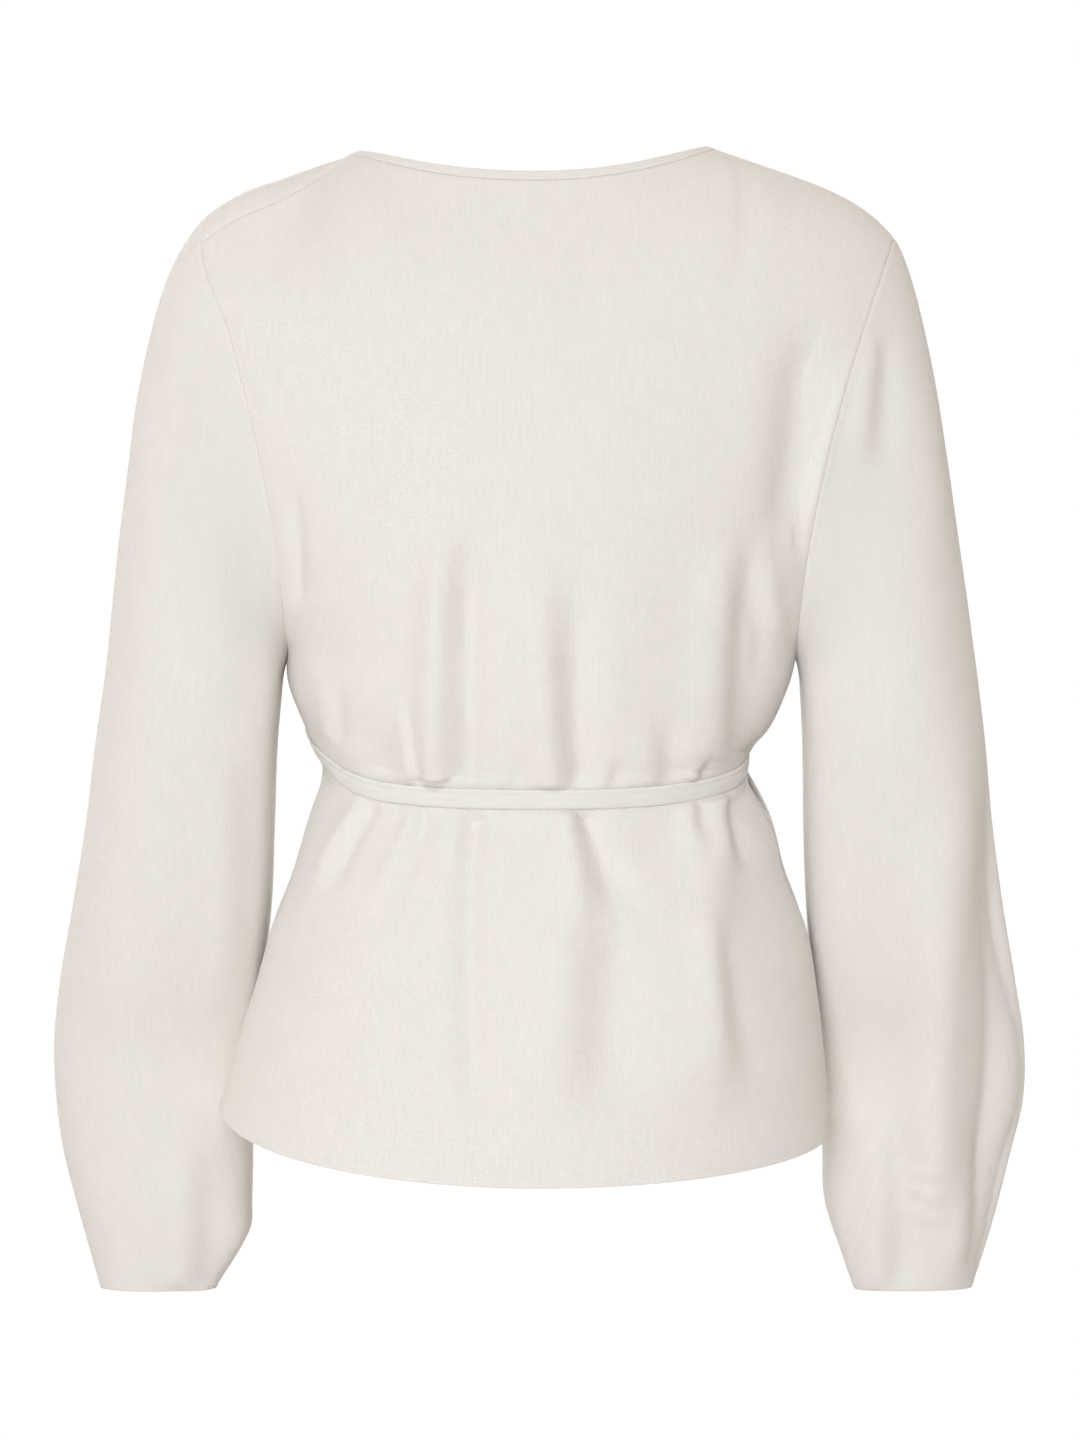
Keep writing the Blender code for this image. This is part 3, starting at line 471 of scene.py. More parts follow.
print("push on a fold and beside it:",
      fold_push(np.array([66.0, 90.0]), np.array([-345.0, -345.0]), BACK_FOLDS).round(2))

# %% [markdown]
# ## From flat piece to shaped cloth
# Each cut piece starts as a flat grid from Blender's own operator. Every vertex of the grid is then
# carried to its place on the body, and a Solidify modifier gives the cloth its thickness. A vertex
# group thins the cloth at seams, as linking pulls it in. The grid also keeps a UV map that counts
# millimetres along and across the knit, so the stitches follow the piece and not the room.


# %% Sheet helpers
def settle(bm, mesh):
    """Write a bmesh into the mesh and let it go."""
    bm.to_mesh(mesh)
    bm.free()
    return mesh


def smooth_faces(mesh):
    """Shade all faces smoothly."""
    mesh.polygons.foreach_set("use_smooth", [True] * len(mesh.polygons))
    return mesh


def run_length(points, axis):
    """Distance travelled along rows or columns of points, starting at 0."""
    step = np.linalg.norm(np.diff(points, axis=axis), axis=-1)
    start = np.zeros_like(np.take(step, [0], axis=axis))
    return np.cumsum(np.concatenate([start, step], axis=axis), axis=axis)


def grid_out(points, closed):
    """Outward direction of a grid of points whose columns go round and rows go along."""
    if closed:
        ring = points[:, :-1]
        across = np.roll(ring, -1, axis=1) - np.roll(ring, 1, axis=1)
        across = np.concatenate([across, across[:, :1]], axis=1)
    else:
        across = np.gradient(points, axis=1)
    return unit(np.cross(np.gradient(points, axis=0), across))


def sheet_mesh(name, points, uv, out, closed=False):
    """A Blender grid carried to points[row, column], facing out, with its UV map in metres."""
    rows, columns = points.shape[:2]
    bm = bmesh.new()
    bmesh.ops.create_grid(bm, x_segments=columns - 1, y_segments=rows - 1, size=1.0)
    mesh = settle(bm, bpy.data.meshes.new(name))
    flat = np.empty(len(mesh.vertices) * 3)
    mesh.vertices.foreach_get("co", flat)
    flat = flat.reshape(-1, 3)
    column = np.rint((flat[:, 0] + 1) / 2 * (columns - 1)).astype(int)
    row = np.rint((flat[:, 1] + 1) / 2 * (rows - 1)).astype(int)
    mesh.vertices.foreach_set("co", (points[row, column] * MM).ravel())
    layer = mesh.uv_layers.new(name="knit")
    corner = np.empty(len(mesh.loops), int)
    mesh.loops.foreach_get("vertex_index", corner)
    layer.data.foreach_set("uv", (uv[row, column] * MM)[corner].ravel())
    mesh.update()
    middle = mesh.polygons[len(mesh.polygons) // 2]
    if np.dot(middle.normal, out[row, column][middle.vertices[0]]) < 0:
        mesh.flip_normals()
    if closed:
        bm = bmesh.new()
        bm.from_mesh(mesh)
        bmesh.ops.remove_doubles(bm, verts=bm.verts, dist=1e-6)
        settle(bm, mesh)
    return smooth_faces(mesh), row, column


def cloth_piece(name, points, uv, out, thin, closed=False):
    """A piece of knit: the shaped grid with the cloth's thickness, thinner where thin is below 1."""
    mesh, row, column = sheet_mesh(name, points, uv, out, closed)
    piece = new_object(name, mesh)
    group = piece.vertex_groups.new(name="full cloth")
    if closed:
        here = np.array([v.co[:] for v in mesh.vertices]) / MM
        rings = points[:, :-1].reshape(-1, 3)
        order = {tuple(p): t for p, t in zip(rings.round(3), thin[:, :-1].ravel())}
        weights = [order.get(tuple(p), 1.0) for p in here.round(3)]
    else:
        weights = thin[row, column]
    levels = np.round(weights, 1)
    for level in np.unique(levels):
        chosen = np.nonzero(levels == level)[0]
        group.add([int(i) for i in chosen], float(level), "REPLACE")
    solid = piece.modifiers.new("cloth", "SOLIDIFY")
    solid.thickness = CLOTH * MM
    solid.offset = 0.0
    solid.vertex_group = group.name
    solid.thickness_vertex_group = 0.0
    solid.use_quality_normals = True
    return piece


def fine_steps(start, end, step, near_start=(), near_end=()):
    """Even steps, with chosen extra ones close to either end."""
    count = max(int(round(abs(end - start) / step)), 2)
    even = np.linspace(start, end, count + 1)
    sign = np.sign(end - start)
    extra = [start + sign * s for s in near_start] + [end - sign * s for s in near_end]
    span = max([0] + list(near_start)), max([0] + list(near_end))
    clear_of_start = np.abs(even - start) > span[0] + 0.4 * step
    clear_of_end = np.abs(even - end) > span[1] + 0.4 * step
    found = np.concatenate([[start, end], extra, even[clear_of_start & clear_of_end]])
    return np.unique(found)[::int(sign)]


print("sample steps:", fine_steps(0, 1, 0.25, near_start=(0.02,)).round(2))

# %% [markdown]
# ## Seams
# The pieces are linked edge to edge, with the join inside. From outside a linked seam is a narrow
# valley, with the cloth on both sides a little fuller next to it. `seam_shape` gives that profile from
# the distance to the edge, and every piece uses it wherever it is sewn.


# %% Seam profile
VALLEY_DEPTH, VALLEY_WIDTH = 0.14, 0.8
SWELL_HEIGHT, SWELL_WIDTH, SWELL_OFF = 0.22, 1.3, 2.4
THIN_SHARE, THIN_REACH = 0.8, 2.5    # the cloth is this thin at a seam, and full beyond this
FREE_EDGE = 0.6                      # share of the seam's profile that a free edge has
FAR = 99.0                           # a distance beyond every seam


def seam_shape(distance):
    """Height of the cloth beside a seam: a narrow valley with a soft swelling next to it."""
    swelling = SWELL_HEIGHT * bell(distance, SWELL_WIDTH, SWELL_OFF)
    return -VALLEY_DEPTH * bell(distance, VALLEY_WIDTH) + swelling


def seam_thin(distance):
    """Thickness beside a seam, as a share of the full cloth."""
    return THIN_SHARE + (1 - THIN_SHARE) * smooth_step(distance / THIN_REACH)


SLIT_UPS = (0.752, 0.792)            # the slit of the left side seam is fully open between these,
SLIT_ENDS = (0.74, 0.812)            # and closed again beyond these
SLIT_OPEN, SLIT_REACH = 2.7, 0.1
SLIT_UP = sum(SLIT_UPS) / 2
RIGHT_SEAM_SET = 0.12                # right side seam shows at the back, just below the tie
SET_TOP_FADE, SET_LOW, SET_LOW_FADE = 0.06, 0.4, 0.2   # where it starts below the tie and ends


def seam_set(up):
    """How far the right side seam is set round to the back, as a share of the back."""
    start, end = smooth_step((WAIST_UP - up) / SET_TOP_FADE), smooth_step((up - SET_LOW) / SET_LOW_FADE)
    return RIGHT_SEAM_SET * start * end


def slit_lift(face, across, up):
    """The lips of the slit, front lip out and back lip in, along the left side seam."""
    (first, last), (low, high) = SLIT_UPS, SLIT_ENDS
    open_here = smooth_step((up - low) / (first - low)) * smooth_step((high - up) / (high - last))
    return -face * SLIT_OPEN * open_here * smooth_step(1 - (1 - across) / SLIT_REACH)


WRAP_START, WRAP_TOP, WRAP_TOP_FADE = 0.18, 1.3, 0.5   # beside the side seam, and up the yoke


def wrap_lift(own_side, across, up):
    """How far a front lies off the body: the left one out, the right one in."""
    away = smooth_step((1 - own_side * across) / WRAP_START)
    return own_side * WRAP_LIFT * away * (1 - smooth_step((up - WRAP_TOP) / WRAP_TOP_FADE))


def base_cloth(face, across, up):
    """Middle of the cloth and its outward direction; a front's place may run on over the back."""
    across, up = same_shape(across, up)
    own = np.maximum(across, -1)
    place, out = body(face, own, up), body_normal(face, own, up)
    beyond = (face == FRONT) & (across < -1)
    if np.any(beyond):
        turned = np.maximum(-2 - across, -1)
        place = np.where(beyond[..., None], body(BACK, turned, up), place)
        out = np.where(beyond[..., None], body_normal(BACK, turned, up), out)
    return place, out


def panel(name, face, across, up, lift, folds, sewn, free):
    """A back or front from its grid of places. sewn and free name its sides: start, end and top."""
    place, out = base_cloth(face, across, up)
    along = run_length(place, 1)
    climb = run_length(place, 0)
    distance = {"start": along, "end": along[:, -1:] - along, "top": climb[-1:] - climb}
    to_seam = np.min([distance[s] for s in sewn], axis=0)
    to_free = np.min([distance[s] for s in free], axis=0) if free else np.full(along.shape, FAR)
    to_tie = np.abs(climb - tie_climb(face, across, climb, up))
    near, clear = TIE_CALM
    held = 1.0 if face == BACK else smooth_step((-across - 0.5) / 0.15)
    calm = 1 - held * (1 - smooth_step((to_tie - near) / (clear - near)))
    calm = calm * smooth_step(to_seam / EDGE_CALM) * smooth_step(to_free / EDGE_CALM)
    x, z = place[..., 0], place[..., 2]
    push = (fold_push(x, z, folds) + slackness(x, z)) * calm
    push = push + seam_shape(to_seam) + FREE_EDGE * seam_shape(to_free) + lift + held * tie_press(to_tie)
    points = place + out * push[..., None]
    for side, inner in ((0, 1), (-1, -2)):
        points[:, side] += unit(points[:, inner] - points[:, side]) * SEAM_GAP / 2
    points[-1] += unit(points[-2] - points[-1]) * SEAM_GAP / 2
    centre = np.argmin(np.abs(across), axis=1)
    wales = along - along[np.arange(len(along)), centre][:, None]
    uv = np.stack([wales, climb], axis=-1)
    piece = cloth_piece(name, points, uv, out, seam_thin(to_seam) * seam_thin(to_free))
    lowest, highest = push.min().round(1), push.max().round(1)
    print(name, "grid", points.shape[:2], "folds from", lowest, "to", highest, "mm")
    return piece


# How far below the slit the tie lies, at these places across the back.
DROP_ACROSS = (0.48, 0.56, 0.64, 0.72, 0.80, 0.88, 0.93, 1.0)
TIE_DROP = (WAIST_UP - SLIT_UP + TIE_RISE, -0.041, -0.036, -0.027, -0.016, -0.005, -0.001, 0.0)
PRESS_DEPTH, PRESS_END, PRESS_FADE = 1.3, 7.5, 3.2   # the tie sinks into the knit over this half width
BULGE_HEIGHT, BULGE_WIDTH, BULGE_OFF = 0.7, 3.0, 9.5   # and the knit swells beside it


def tie_up(face, across):
    """How high the tie lies: it drops from the slit at the left side seam to the waist."""
    if face == FRONT:
        return TIE_LEVEL + 0 * across
    return SLIT_UP + curve_through(DROP_ACROSS, TIE_DROP, np.clip(across, DROP_ACROSS[0], 1.0))


def tie_climb(face, across, climb, up):
    """How far up each column of a piece the tie crosses it."""
    middle = across[len(across) // 2]
    wanted = tie_up(face, middle)
    return np.array([np.interp(wanted[k], up[:, k], climb[:, k]) for k in range(up.shape[1])])[None]


def tie_press(distance):
    """The tie sinks into the knit, which swells a little above and below it."""
    bulge = BULGE_HEIGHT * bell(distance, BULGE_WIDTH, BULGE_OFF)
    return -PRESS_DEPTH * smooth_step((PRESS_END - distance) / PRESS_FADE) + bulge


STEP = 0.0125                        # between rows and columns, as a share of the body
UPS = np.unique(np.concatenate([
    fine_steps(0, WAIST_UP - 0.06, STEP, near_start=(0.002, 0.005, 0.0085)),
    np.arange(WAIST_UP - 0.06, WAIST_UP + 0.065, 0.006),
    fine_steps(WAIST_UP + 0.065, 1.0, STEP),
    fine_steps(1.0, YOKE_TOP, 0.018),
    fine_steps(YOKE_TOP, 2.0, 0.03, near_end=(0.003, 0.0075, 0.014, 0.022, 0.034, 0.048)),
]).round(5))
print(len(UPS), "rows from hem to shoulder")

# %% [markdown]
# ## The back
# The back is one piece from hem to shoulder. Its columns stand closest at the side seams and
# armholes, where the seam's valley needs them, and at the corner where neck meets shoulder.

# %% Back
EDGE_STEPS = (0.0035, 0.0075, 0.012, 0.018, 0.025, 0.034)
half = np.unique(np.concatenate([
    fine_steps(0.0, NECK_SHARE, STEP),
    fine_steps(NECK_SHARE, 1.0, STEP, near_end=EDGE_STEPS)]).round(5))
back_across = np.tile(np.concatenate([-half[:0:-1], half]), (len(UPS), 1))
back_ups = np.tile(UPS[:, None], (1, back_across.shape[1]))
outer = back_across[0] < -NECK_SHARE
beyond_neck = -back_across[0, outer] - NECK_SHARE
back_across[:, outer] += seam_set(UPS)[:, None] * beyond_neck / (1 - NECK_SHARE)
back = panel("cardigan_back", BACK, back_across, back_ups, slit_lift(BACK, back_across, back_ups),
             BACK_FOLDS, sewn=("start", "end", "top"), free=())

# %% [markdown]
# ## The two fronts
# Each front runs from its side seam to a slanting free edge that carries the band. The left one lies
# on top and reaches the knot at the wearer's right; the right one runs on under it to the left seam.

# %% Fronts
Reach = namedtuple("Reach", "up over under")
REACH = [
    Reach(0.00, -0.64, -0.76),
    Reach(0.40, -0.64, -0.80),
    Reach(0.72, -0.59, -0.80),
    Reach(0.84, -0.48, -0.70),
    Reach(1.00, -0.27, -0.42),
    Reach(1.25, 0.06, -0.01),
    Reach(1.50, 0.25, 0.22),
    Reach(1.75, 0.39, 0.38),
    Reach(2.00, NECK_SHARE, NECK_SHARE),
]
FRONT_EDGE_STEPS = (0.003, 0.0065, 0.0105, 0.016, 0.022)


def reach_of(side, ups):
    """Where the free edge of a front lies."""
    column = [r.over if side == LEFT else r.under for r in REACH]
    return side * curve_through([r.up for r in REACH], column, ups)


def front_panel(name, side):
    """A front, its columns running from the side seam to the free edge."""
    seam = side * np.ones(len(UPS))
    if side == RIGHT:
        seam = seam - seam_set(UPS)
    part = fine_steps(0.0, 1.0, STEP, near_start=FRONT_EDGE_STEPS, near_end=FRONT_EDGE_STEPS)
    across = seam[:, None] + (reach_of(side, UPS) - seam)[:, None] * part
    ups = np.tile(UPS[:, None], (1, across.shape[1]))
    lift = wrap_lift(side, across, ups)
    if side == LEFT:
        lift = lift + slit_lift(FRONT, across, ups)
    return panel(name, FRONT, across, ups, lift, FRONT_FOLDS, sewn=("start", "top"), free=("end",))


front_left = front_panel("cardigan_front_left", LEFT)
front_right = front_panel("cardigan_front_right", RIGHT)

# %% [markdown]
# ## The sleeves
# Each sleeve is a tube set into the armhole. From the armhole it first follows the shoulder and then
# falls into the arm, swells towards the forearm and closes to a plain, narrow cuff. The arms hang a
# little forward of the body.

# %% Sleeves
Ring = namedtuple("Ring", "z left_out left_in right_out right_in forward depth")
SLEEVE = [
    Ring(-310, 252.0, 150.5, 252.5, 151.5, 4, 55),
    Ring(-340, 256.5, 153.5, 256.5, 153.0, 7, 54),
    Ring(-390, 262.8, 155.2, 262.3, 154.5, 16, 51),
    Ring(-436, 271.0, 157.0, 269.5, 156.5, 28, 49),
    Ring(-482, 279.6, 162.7, 277.8, 160.0, 43, 47),
    Ring(-523, 285.0, 168.6, 284.3, 164.5, 59, 44),
    Ring(-554, 284.8, 171.0, 284.3, 167.0, 67, 42),
    Ring(-586, 281.0, 171.0, 278.0, 168.5, 73, 39),
    Ring(-617, 273.2, 171.8, 271.0, 170.3, 77, 36),
    Ring(-631, 269.4, 172.3, 267.4, 174.4, 79, 34),
    Ring(-643, 266.0, 177.8, 264.0, 178.8, 81, 32),
    Ring(-667, 259.5, 192.5, 256.0, 187.0, 84, 27),      # cuff
]
CAP_RUN = {LEFT: 0.50, RIGHT: 0.34}  # how far the sleeve head first follows the shoulder, of its way
INNER_FULL, OUTER_FULL = 0.40, 1.10  # below 1 the tube is squarer on that side, above 1 slimmer
SLEEVE_BACK_FOLDS = {
    RIGHT: fold_table(
        (-193, -100, -190, -150, -186, -200, 5.5, 8, 0, 3, 0.35, 0.35),
        (-226, -130, -232, -190, -240, -270, 9, 10, 0, 1.8, 0.35, 0.45),
        (-247, -340, -251, -480, -243, -650, 16, 15, 0, 7.2, 0.4, 0.2),
        (-258, -390, -263, -530, -247, -668, 10, 8, 0, 3.6, 0.4, 0.1),
        (-236, -380, -239, -500, -238, -640, 14, 15, 0, 4.6, 0.4, 0.25),
        (-203, -535, -205, -605, -205, -668, 9, 8, 0, 4, 0.45, 0.1),
        (-246, -300, -252, -380, -258, -450, 12, 12, 0, 1.6, 0.4, 0.5),
    ),
    LEFT: fold_table(
        (180, -190, 174, -260, 172, -340, 10, 9, 0, 1, 0.4, 0.2),
        (176, -340, 174, -430, 180, -520, 10, 10, 0, 2.2, 0.25, 0.4),
        (248, -430, 252, -510, 246, -600, 12, 10, 0, -1, 0.5, 0.5),
        (199, -560, 200, -615, 203, -668, 11, 9, 0, 2.8, 0.45, 0.1),
        (226, -90, 224, -150, 218, -215, 7, 9, 0, 1.1, 0.5, 0.5),
    ),
}
SLEEVE_FRONT_FOLDS = {
    RIGHT: fold_table(
        (-176, -330, -205, -352, -236, -372, 7, 9, -2.6, 0, 0.25, 0.5),
        (-180, -372, -210, -392, -238, -404, 7, 9, -2, 0.8, 0.25, 0.5),
        (-186, -205, -190, -250, -182, -300, 8, 8, -2.4, 0, 0.4, 0.4),
        (-224, -480, -232, -560, -228, -660, 10, 7, 2.4, 0.6, 0.4, 0.1),
        (-200, -520, -204, -590, -206, -662, 8, 6, -1.6, 0, 0.4, 0.1),
    ),
    LEFT: fold_table(
        (178, -336, 206, -356, 238, -370, 7, 9, -2.6, 0, 0.25, 0.5),
        (184, -380, 212, -396, 240, -412, 7, 9, -2.1, 0.7, 0.25, 0.5),
        (184, -210, 188, -255, 180, -304, 8, 8, -2.4, 0, 0.4, 0.4),
        (230, -490, 236, -570, 232, -660, 10, 7, 2.2, 0.5, 0.4, 0.1),
        (204, -530, 208, -600, 212, -662, 8, 6, -1.5, 0, 0.4, 0.1),
    ),
}


SLEEVE_COLUMNS = 120
HEAD_STEP, HEAD_STEPS = 0.03, (0.004, 0.009, 0.016, 0.026, 0.040)   # of the way to the arm
ARM_STEP, CUFF_STEPS = 4.0, (0.7, 1.8, 3.0)
INSIDE = 0.97                        # a place just inside the armhole, as a share of the body's half
HEAD_CALM = 12.0                     # folds start to show this far from the armhole
HEAD_UNDER = 0.4                     # share of the seam's profile left at the underarm


def sleeve_ring(side, z, turns):
    """A ring of the arm below the underarm; turn 0 is next to the body and a quarter turn is behind."""
    knots = [-r.z for r in SLEEVE]
    names = ("left_out", "left_in") if side == LEFT else ("right_out", "right_in")
    outer, inner, forward, depth = [curve_through(knots, [getattr(r, n) for r in SLEEVE], -z)
                                    for n in names + ("forward", "depth")]
    centre, half = (outer + inner) / 2, (outer - inner) / 2
    full = INNER_FULL + (OUTER_FULL - INNER_FULL) * (1 - np.cos(turns)) / 2
    height = np.sign(np.sin(turns)) * np.abs(np.sin(turns)) ** full
    return point(side * (centre - half * np.cos(turns)), depth * height - forward, z)


def armhole_at(side, turns):
    """The armhole seam, up the back and down the front, with its directions out and away."""
    behind = turns <= np.pi
    up = np.where(behind, 1 + turns / np.pi, 1 + (2 * np.pi - turns) / np.pi)
    (back_at, back_out), (front_at, front_out) = base_cloth(BACK, side, up), base_cloth(FRONT, side, up)
    inner, at_back = INSIDE * side, behind[:, None]
    inside = np.where(at_back, body(BACK, inner, up), body(FRONT, inner, up))
    loop = np.where(at_back, back_at, front_at)
    out = np.where(at_back, back_out, front_out)
    run = unit(np.roll(loop, -1, axis=0) - np.roll(loop, 1, axis=0))
    away = unit(np.cross(out, run))
    toward = np.sum(away * (inside - loop), axis=-1, keepdims=True)
    return loop, out, np.where(toward > 0, -away, away)


def sleeve(name, side):
    """A sleeve from armhole to cuff, closed all round."""
    turns = np.linspace(0, 2 * np.pi, SLEEVE_COLUMNS + 1)[:-1]
    loop, out, away = armhole_at(side, turns)
    arm_top, arm_next = (sleeve_ring(side, SLEEVE[0].z - d, turns) for d in (0.0, 1.0))
    chord = arm_top - loop
    reach = np.linalg.norm(chord, axis=-1, keepdims=True)
    rise = ((1 - np.cos(turns)) / 2)[:, None]
    heading = unit(rise * away + (1 - rise) * unit(chord))
    start_run = heading * reach * (1 - (1 - CAP_RUN[side]) * rise)
    start = loop + heading * (SEAM_GAP / 2 + 0.5 * (1 - rise) ** 3)
    end_run = unit(arm_next - arm_top) * reach
    steps = fine_steps(0.0, 1.0, HEAD_STEP, near_start=HEAD_STEPS)
    rings = [hermite(start, start_run, arm_top, end_run, np.full(len(turns), t)) for t in steps[:-1]]
    heights = fine_steps(SLEEVE[0].z, SLEEVE[-1].z, ARM_STEP, near_end=CUFF_STEPS)
    rings += [sleeve_ring(side, z, turns) for z in heights]
    rings = np.array(rings)
    points = np.concatenate([rings, rings[:, :1]], axis=1)
    outward = grid_out(points, closed=True)
    centre = points[:, :-1].mean(axis=1, keepdims=True)
    if np.sum((points - centre) * outward) < 0:
        outward = -outward
    outward[0] = np.concatenate([out, out[:1]])
    down = run_length(points, 0)
    x, z = points[..., 0], points[..., 2]
    behind = smooth_step((outward[..., 1] + 0.15) / 0.4)
    push = behind * fold_push(x, z, SLEEVE_BACK_FOLDS[side])
    push += (1 - behind) * fold_push(x, z, SLEEVE_FRONT_FOLDS[side])
    push = (push + slackness(x + 40, z)) * smooth_step(down / HEAD_CALM)
    full = np.concatenate([rise, rise[:1]])[:, 0]
    push += seam_shape(down) * (HEAD_UNDER + (1 - HEAD_UNDER) * full)
    around = run_length(points, 1)
    under_seam = np.minimum(around, around[:, -1:] - around)
    push += 0.5 * seam_shape(under_seam) * smooth_step(down / HEAD_CALM)
    points = points + outward * push[..., None]
    points[:, -1] = points[:, 0]
    uv = np.stack([around - around[:, -1:] / 2, -down], axis=-1)
    piece = cloth_piece(name, points, uv, outward, seam_thin(down), closed=True)
    print(name, "grid", points.shape[:2], "length", down.max(axis=0).round()[::30], "mm")
    return piece


sleeve_left = sleeve("cardigan_sleeve_left", LEFT)
sleeve_right = sleeve("cardigan_sleeve_right", RIGHT)

# %% [markdown]
# ## Narrow strips: band and tie
# A strip is a short profile carried along a path, so it is a tube of grid rows. The band is a folded
# 6 mm strip with soft edges. The tie is a folded strip too, and its join shows as a fine line a quarter
# of the way down its face, so the face of its profile has a broad swelling and a narrow one.


# %% Strip helpers
STRIP_COLUMNS = 48
SQUARE_WIDE, SQUARE_THICK = 0.62, 0.75   # below 1 the section is squarer than a round one
GROOVE = 0.6                             # width and depth of the join


def squared(wave, power):
    """A wave from -1 to 1 with fuller or slimmer rounds."""
    return np.sign(wave) * np.abs(wave) ** power


def strip_profile(width, thick, join=None, flat=1.0):
    """Points round a strip's section, as places across and heights; a join is a groove on its face."""
    turn = np.linspace(0, 2 * np.pi, STRIP_COLUMNS + 1)[:-1]
    across = squared(np.cos(turn), SQUARE_WIDE * flat) * width / 2
    height = squared(np.sin(turn), SQUARE_THICK * flat) * thick / 2
    if join is not None:
        height = height - GROOVE * (bell(across, GROOVE, join) * (height > 0))
    return across, height


def strip(name, line, wide, out, profile):
    """A closed strip: the profile carried along the line, with both ends filled."""
    across, height = (np.append(p, p[0]) for p in profile)
    wide, out = unit(wide), unit(out)
    points = line[:, None] + wide[:, None] * across[:, None] + out[:, None] * height[:, None]
    along = run_length(line, 0)
    uv = np.stack(np.broadcast_arrays(across, along[:, None]), axis=-1)
    mesh, _, _ = sheet_mesh(name, points, uv, unit(points - line[:, None]), closed=True)
    bm = bmesh.new()
    bm.from_mesh(mesh)
    bmesh.ops.holes_fill(bm, edges=[e for e in bm.edges if e.is_boundary], sides=0)
    bmesh.ops.recalc_face_normals(bm, faces=bm.faces)
    print(name, "length", round(float(along[-1])), "mm")
    return new_object(name, smooth_faces(settle(bm, mesh)))


def even_line(points, step, *others):
    """The same line with even steps, and other arrays read at the same places."""
    travelled = run_length(points, 0)
    at = np.linspace(0, travelled[-1], max(int(travelled[-1] / step), 3) + 1)
    return [np.stack([np.interp(at, travelled, array[:, k]) for k in range(3)], axis=-1)
            for array in (points, *others)]


# %% Band
def front_edge(side, ups):
    """The free edge of a front and the outward directions along it."""
    reach = reach_of(side, ups)
    place, out = base_cloth(FRONT, reach, ups)
    return place + out * wrap_lift(side, reach, ups)[:, None], out


neck_across = np.linspace(NECK_SHARE, -NECK_SHARE, 90)[1:-1]
edges = [front_edge(LEFT, UPS), base_cloth(BACK, neck_across, 2.0), front_edge(RIGHT, UPS[::-1])]
line, out = (np.concatenate(parts) for parts in zip(*edges))
line, out = even_line(line, 2.5, out)
for _ in range(3):
    out[1:-1] = (out[:-2] + out[1:-1] + out[2:]) / 3
    line[1:-1] = (line[:-2] + 2 * line[1:-1] + line[2:]) / 4
away = unit(np.cross(out, np.gradient(line, axis=0)))
band_width = BAND_WIDTH - SEAM_GAP / 2
middle = line + away * (SEAM_GAP / 2 + band_width / 2)
band_profile = strip_profile(band_width, BAND_THICK, flat=0.6)
neck_band = strip("cardigan_neck_band", middle, away, out, band_profile)

# %% [markdown]
# ## The tie
# The tie is sewn to the under front. It comes out through a slit in the left side seam, goes round
# the back of the waist and is knotted at the wearer's right front with the short tie of the upper
# front. It is laid along places on the body, each with its own lift off the cloth.

# %% Tie
Way = namedtuple("Way", "face across up lift")
TIE_LIFT, TIE_OVER_FRONT = 1.35, 1.5
KNOT_ACROSS, KNOT_LIFT = -0.755, 6.6
KNOT_SIZE = (19.0, 16.0, 10.0)       # along the tie, up, and thick
TIE_START = [
    Way(FRONT, 0.870, SLIT_UP, -2.4),
    Way(FRONT, 0.92, SLIT_UP, -2.4),
    Way(FRONT, 0.96, SLIT_UP, -1.3),
    Way(FRONT, 1.0, SLIT_UP, 0.0),
    Way(BACK, 0.965, SLIT_UP, 1.2),
    Way(BACK, 0.93, SLIT_UP - 0.001, 2.2),
]


def on_body(ways):
    """Places over the body and their outward directions."""
    found = [base_cloth(w.face, w.across, w.up) for w in ways]
    place = np.array([f[0] for f in found]).reshape(-1, 3)
    out = np.array([f[1] for f in found]).reshape(-1, 3)
    return place + out * np.array([[w.lift] for w in ways]), out


def knot_frame():
    """Where the knot sits, with its directions toward the side seam, up and out."""
    here, out = on_body([Way(FRONT, KNOT_ACROSS, TIE_LEVEL, KNOT_LIFT)])
    near, _ = on_body([Way(FRONT, KNOT_ACROSS - 0.02, TIE_LEVEL, KNOT_LIFT)])
    along = unit(near[0] - here[0])
    up = unit(np.cross(along, out[0]))
    return here[0], along, up if up[2] > 0 else -up, out[0]


def smooth_line(line, out, step):
    """Lay an even, softened line through a few places."""
    line, out = even_line(line, step, out)
    for _ in range(6):
        line[1:-1] = (line[:-2] + line[1:-1] * 2 + line[2:]) / 4
        out[1:-1] = (out[:-2] + out[1:-1] * 2 + out[2:]) / 4
    return line, out


knot_at, knot_along, knot_up, knot_out = knot_frame()
sink = knot_out * (KNOT_LIFT - TIE_OVER_FRONT)
beside_knot = knot_along * (KNOT_SIZE[0] / 2 + SEAM_GAP)
ways = TIE_START + [Way(BACK, a, float(tie_up(BACK, a)), TIE_LIFT)
                    for a in np.arange(0.88, -0.97, -0.02)]
ways += [Way(BACK, -1.0, TIE_LEVEL, TIE_LIFT)]
ways += [Way(FRONT, a, TIE_LEVEL, TIE_OVER_FRONT) for a in (-0.98, -0.955, -0.93, -0.905, -0.88)]
line, out = on_body(ways)
line = np.concatenate([line, [knot_at + beside_knot - sink]])
line, out = smooth_line(line, np.concatenate([out, out[-1:]]), 2.5)
wide = np.cross(np.gradient(line, axis=0), out)
wide = np.where(wide[:, 2:3] < 0, -wide, wide)
tie_profile = strip_profile(TIE_WIDTH, TIE_THICK, join=TIE_WIDTH * 0.24)
tie_back = strip("cardigan_tie_back", line, wide, out, tie_profile)

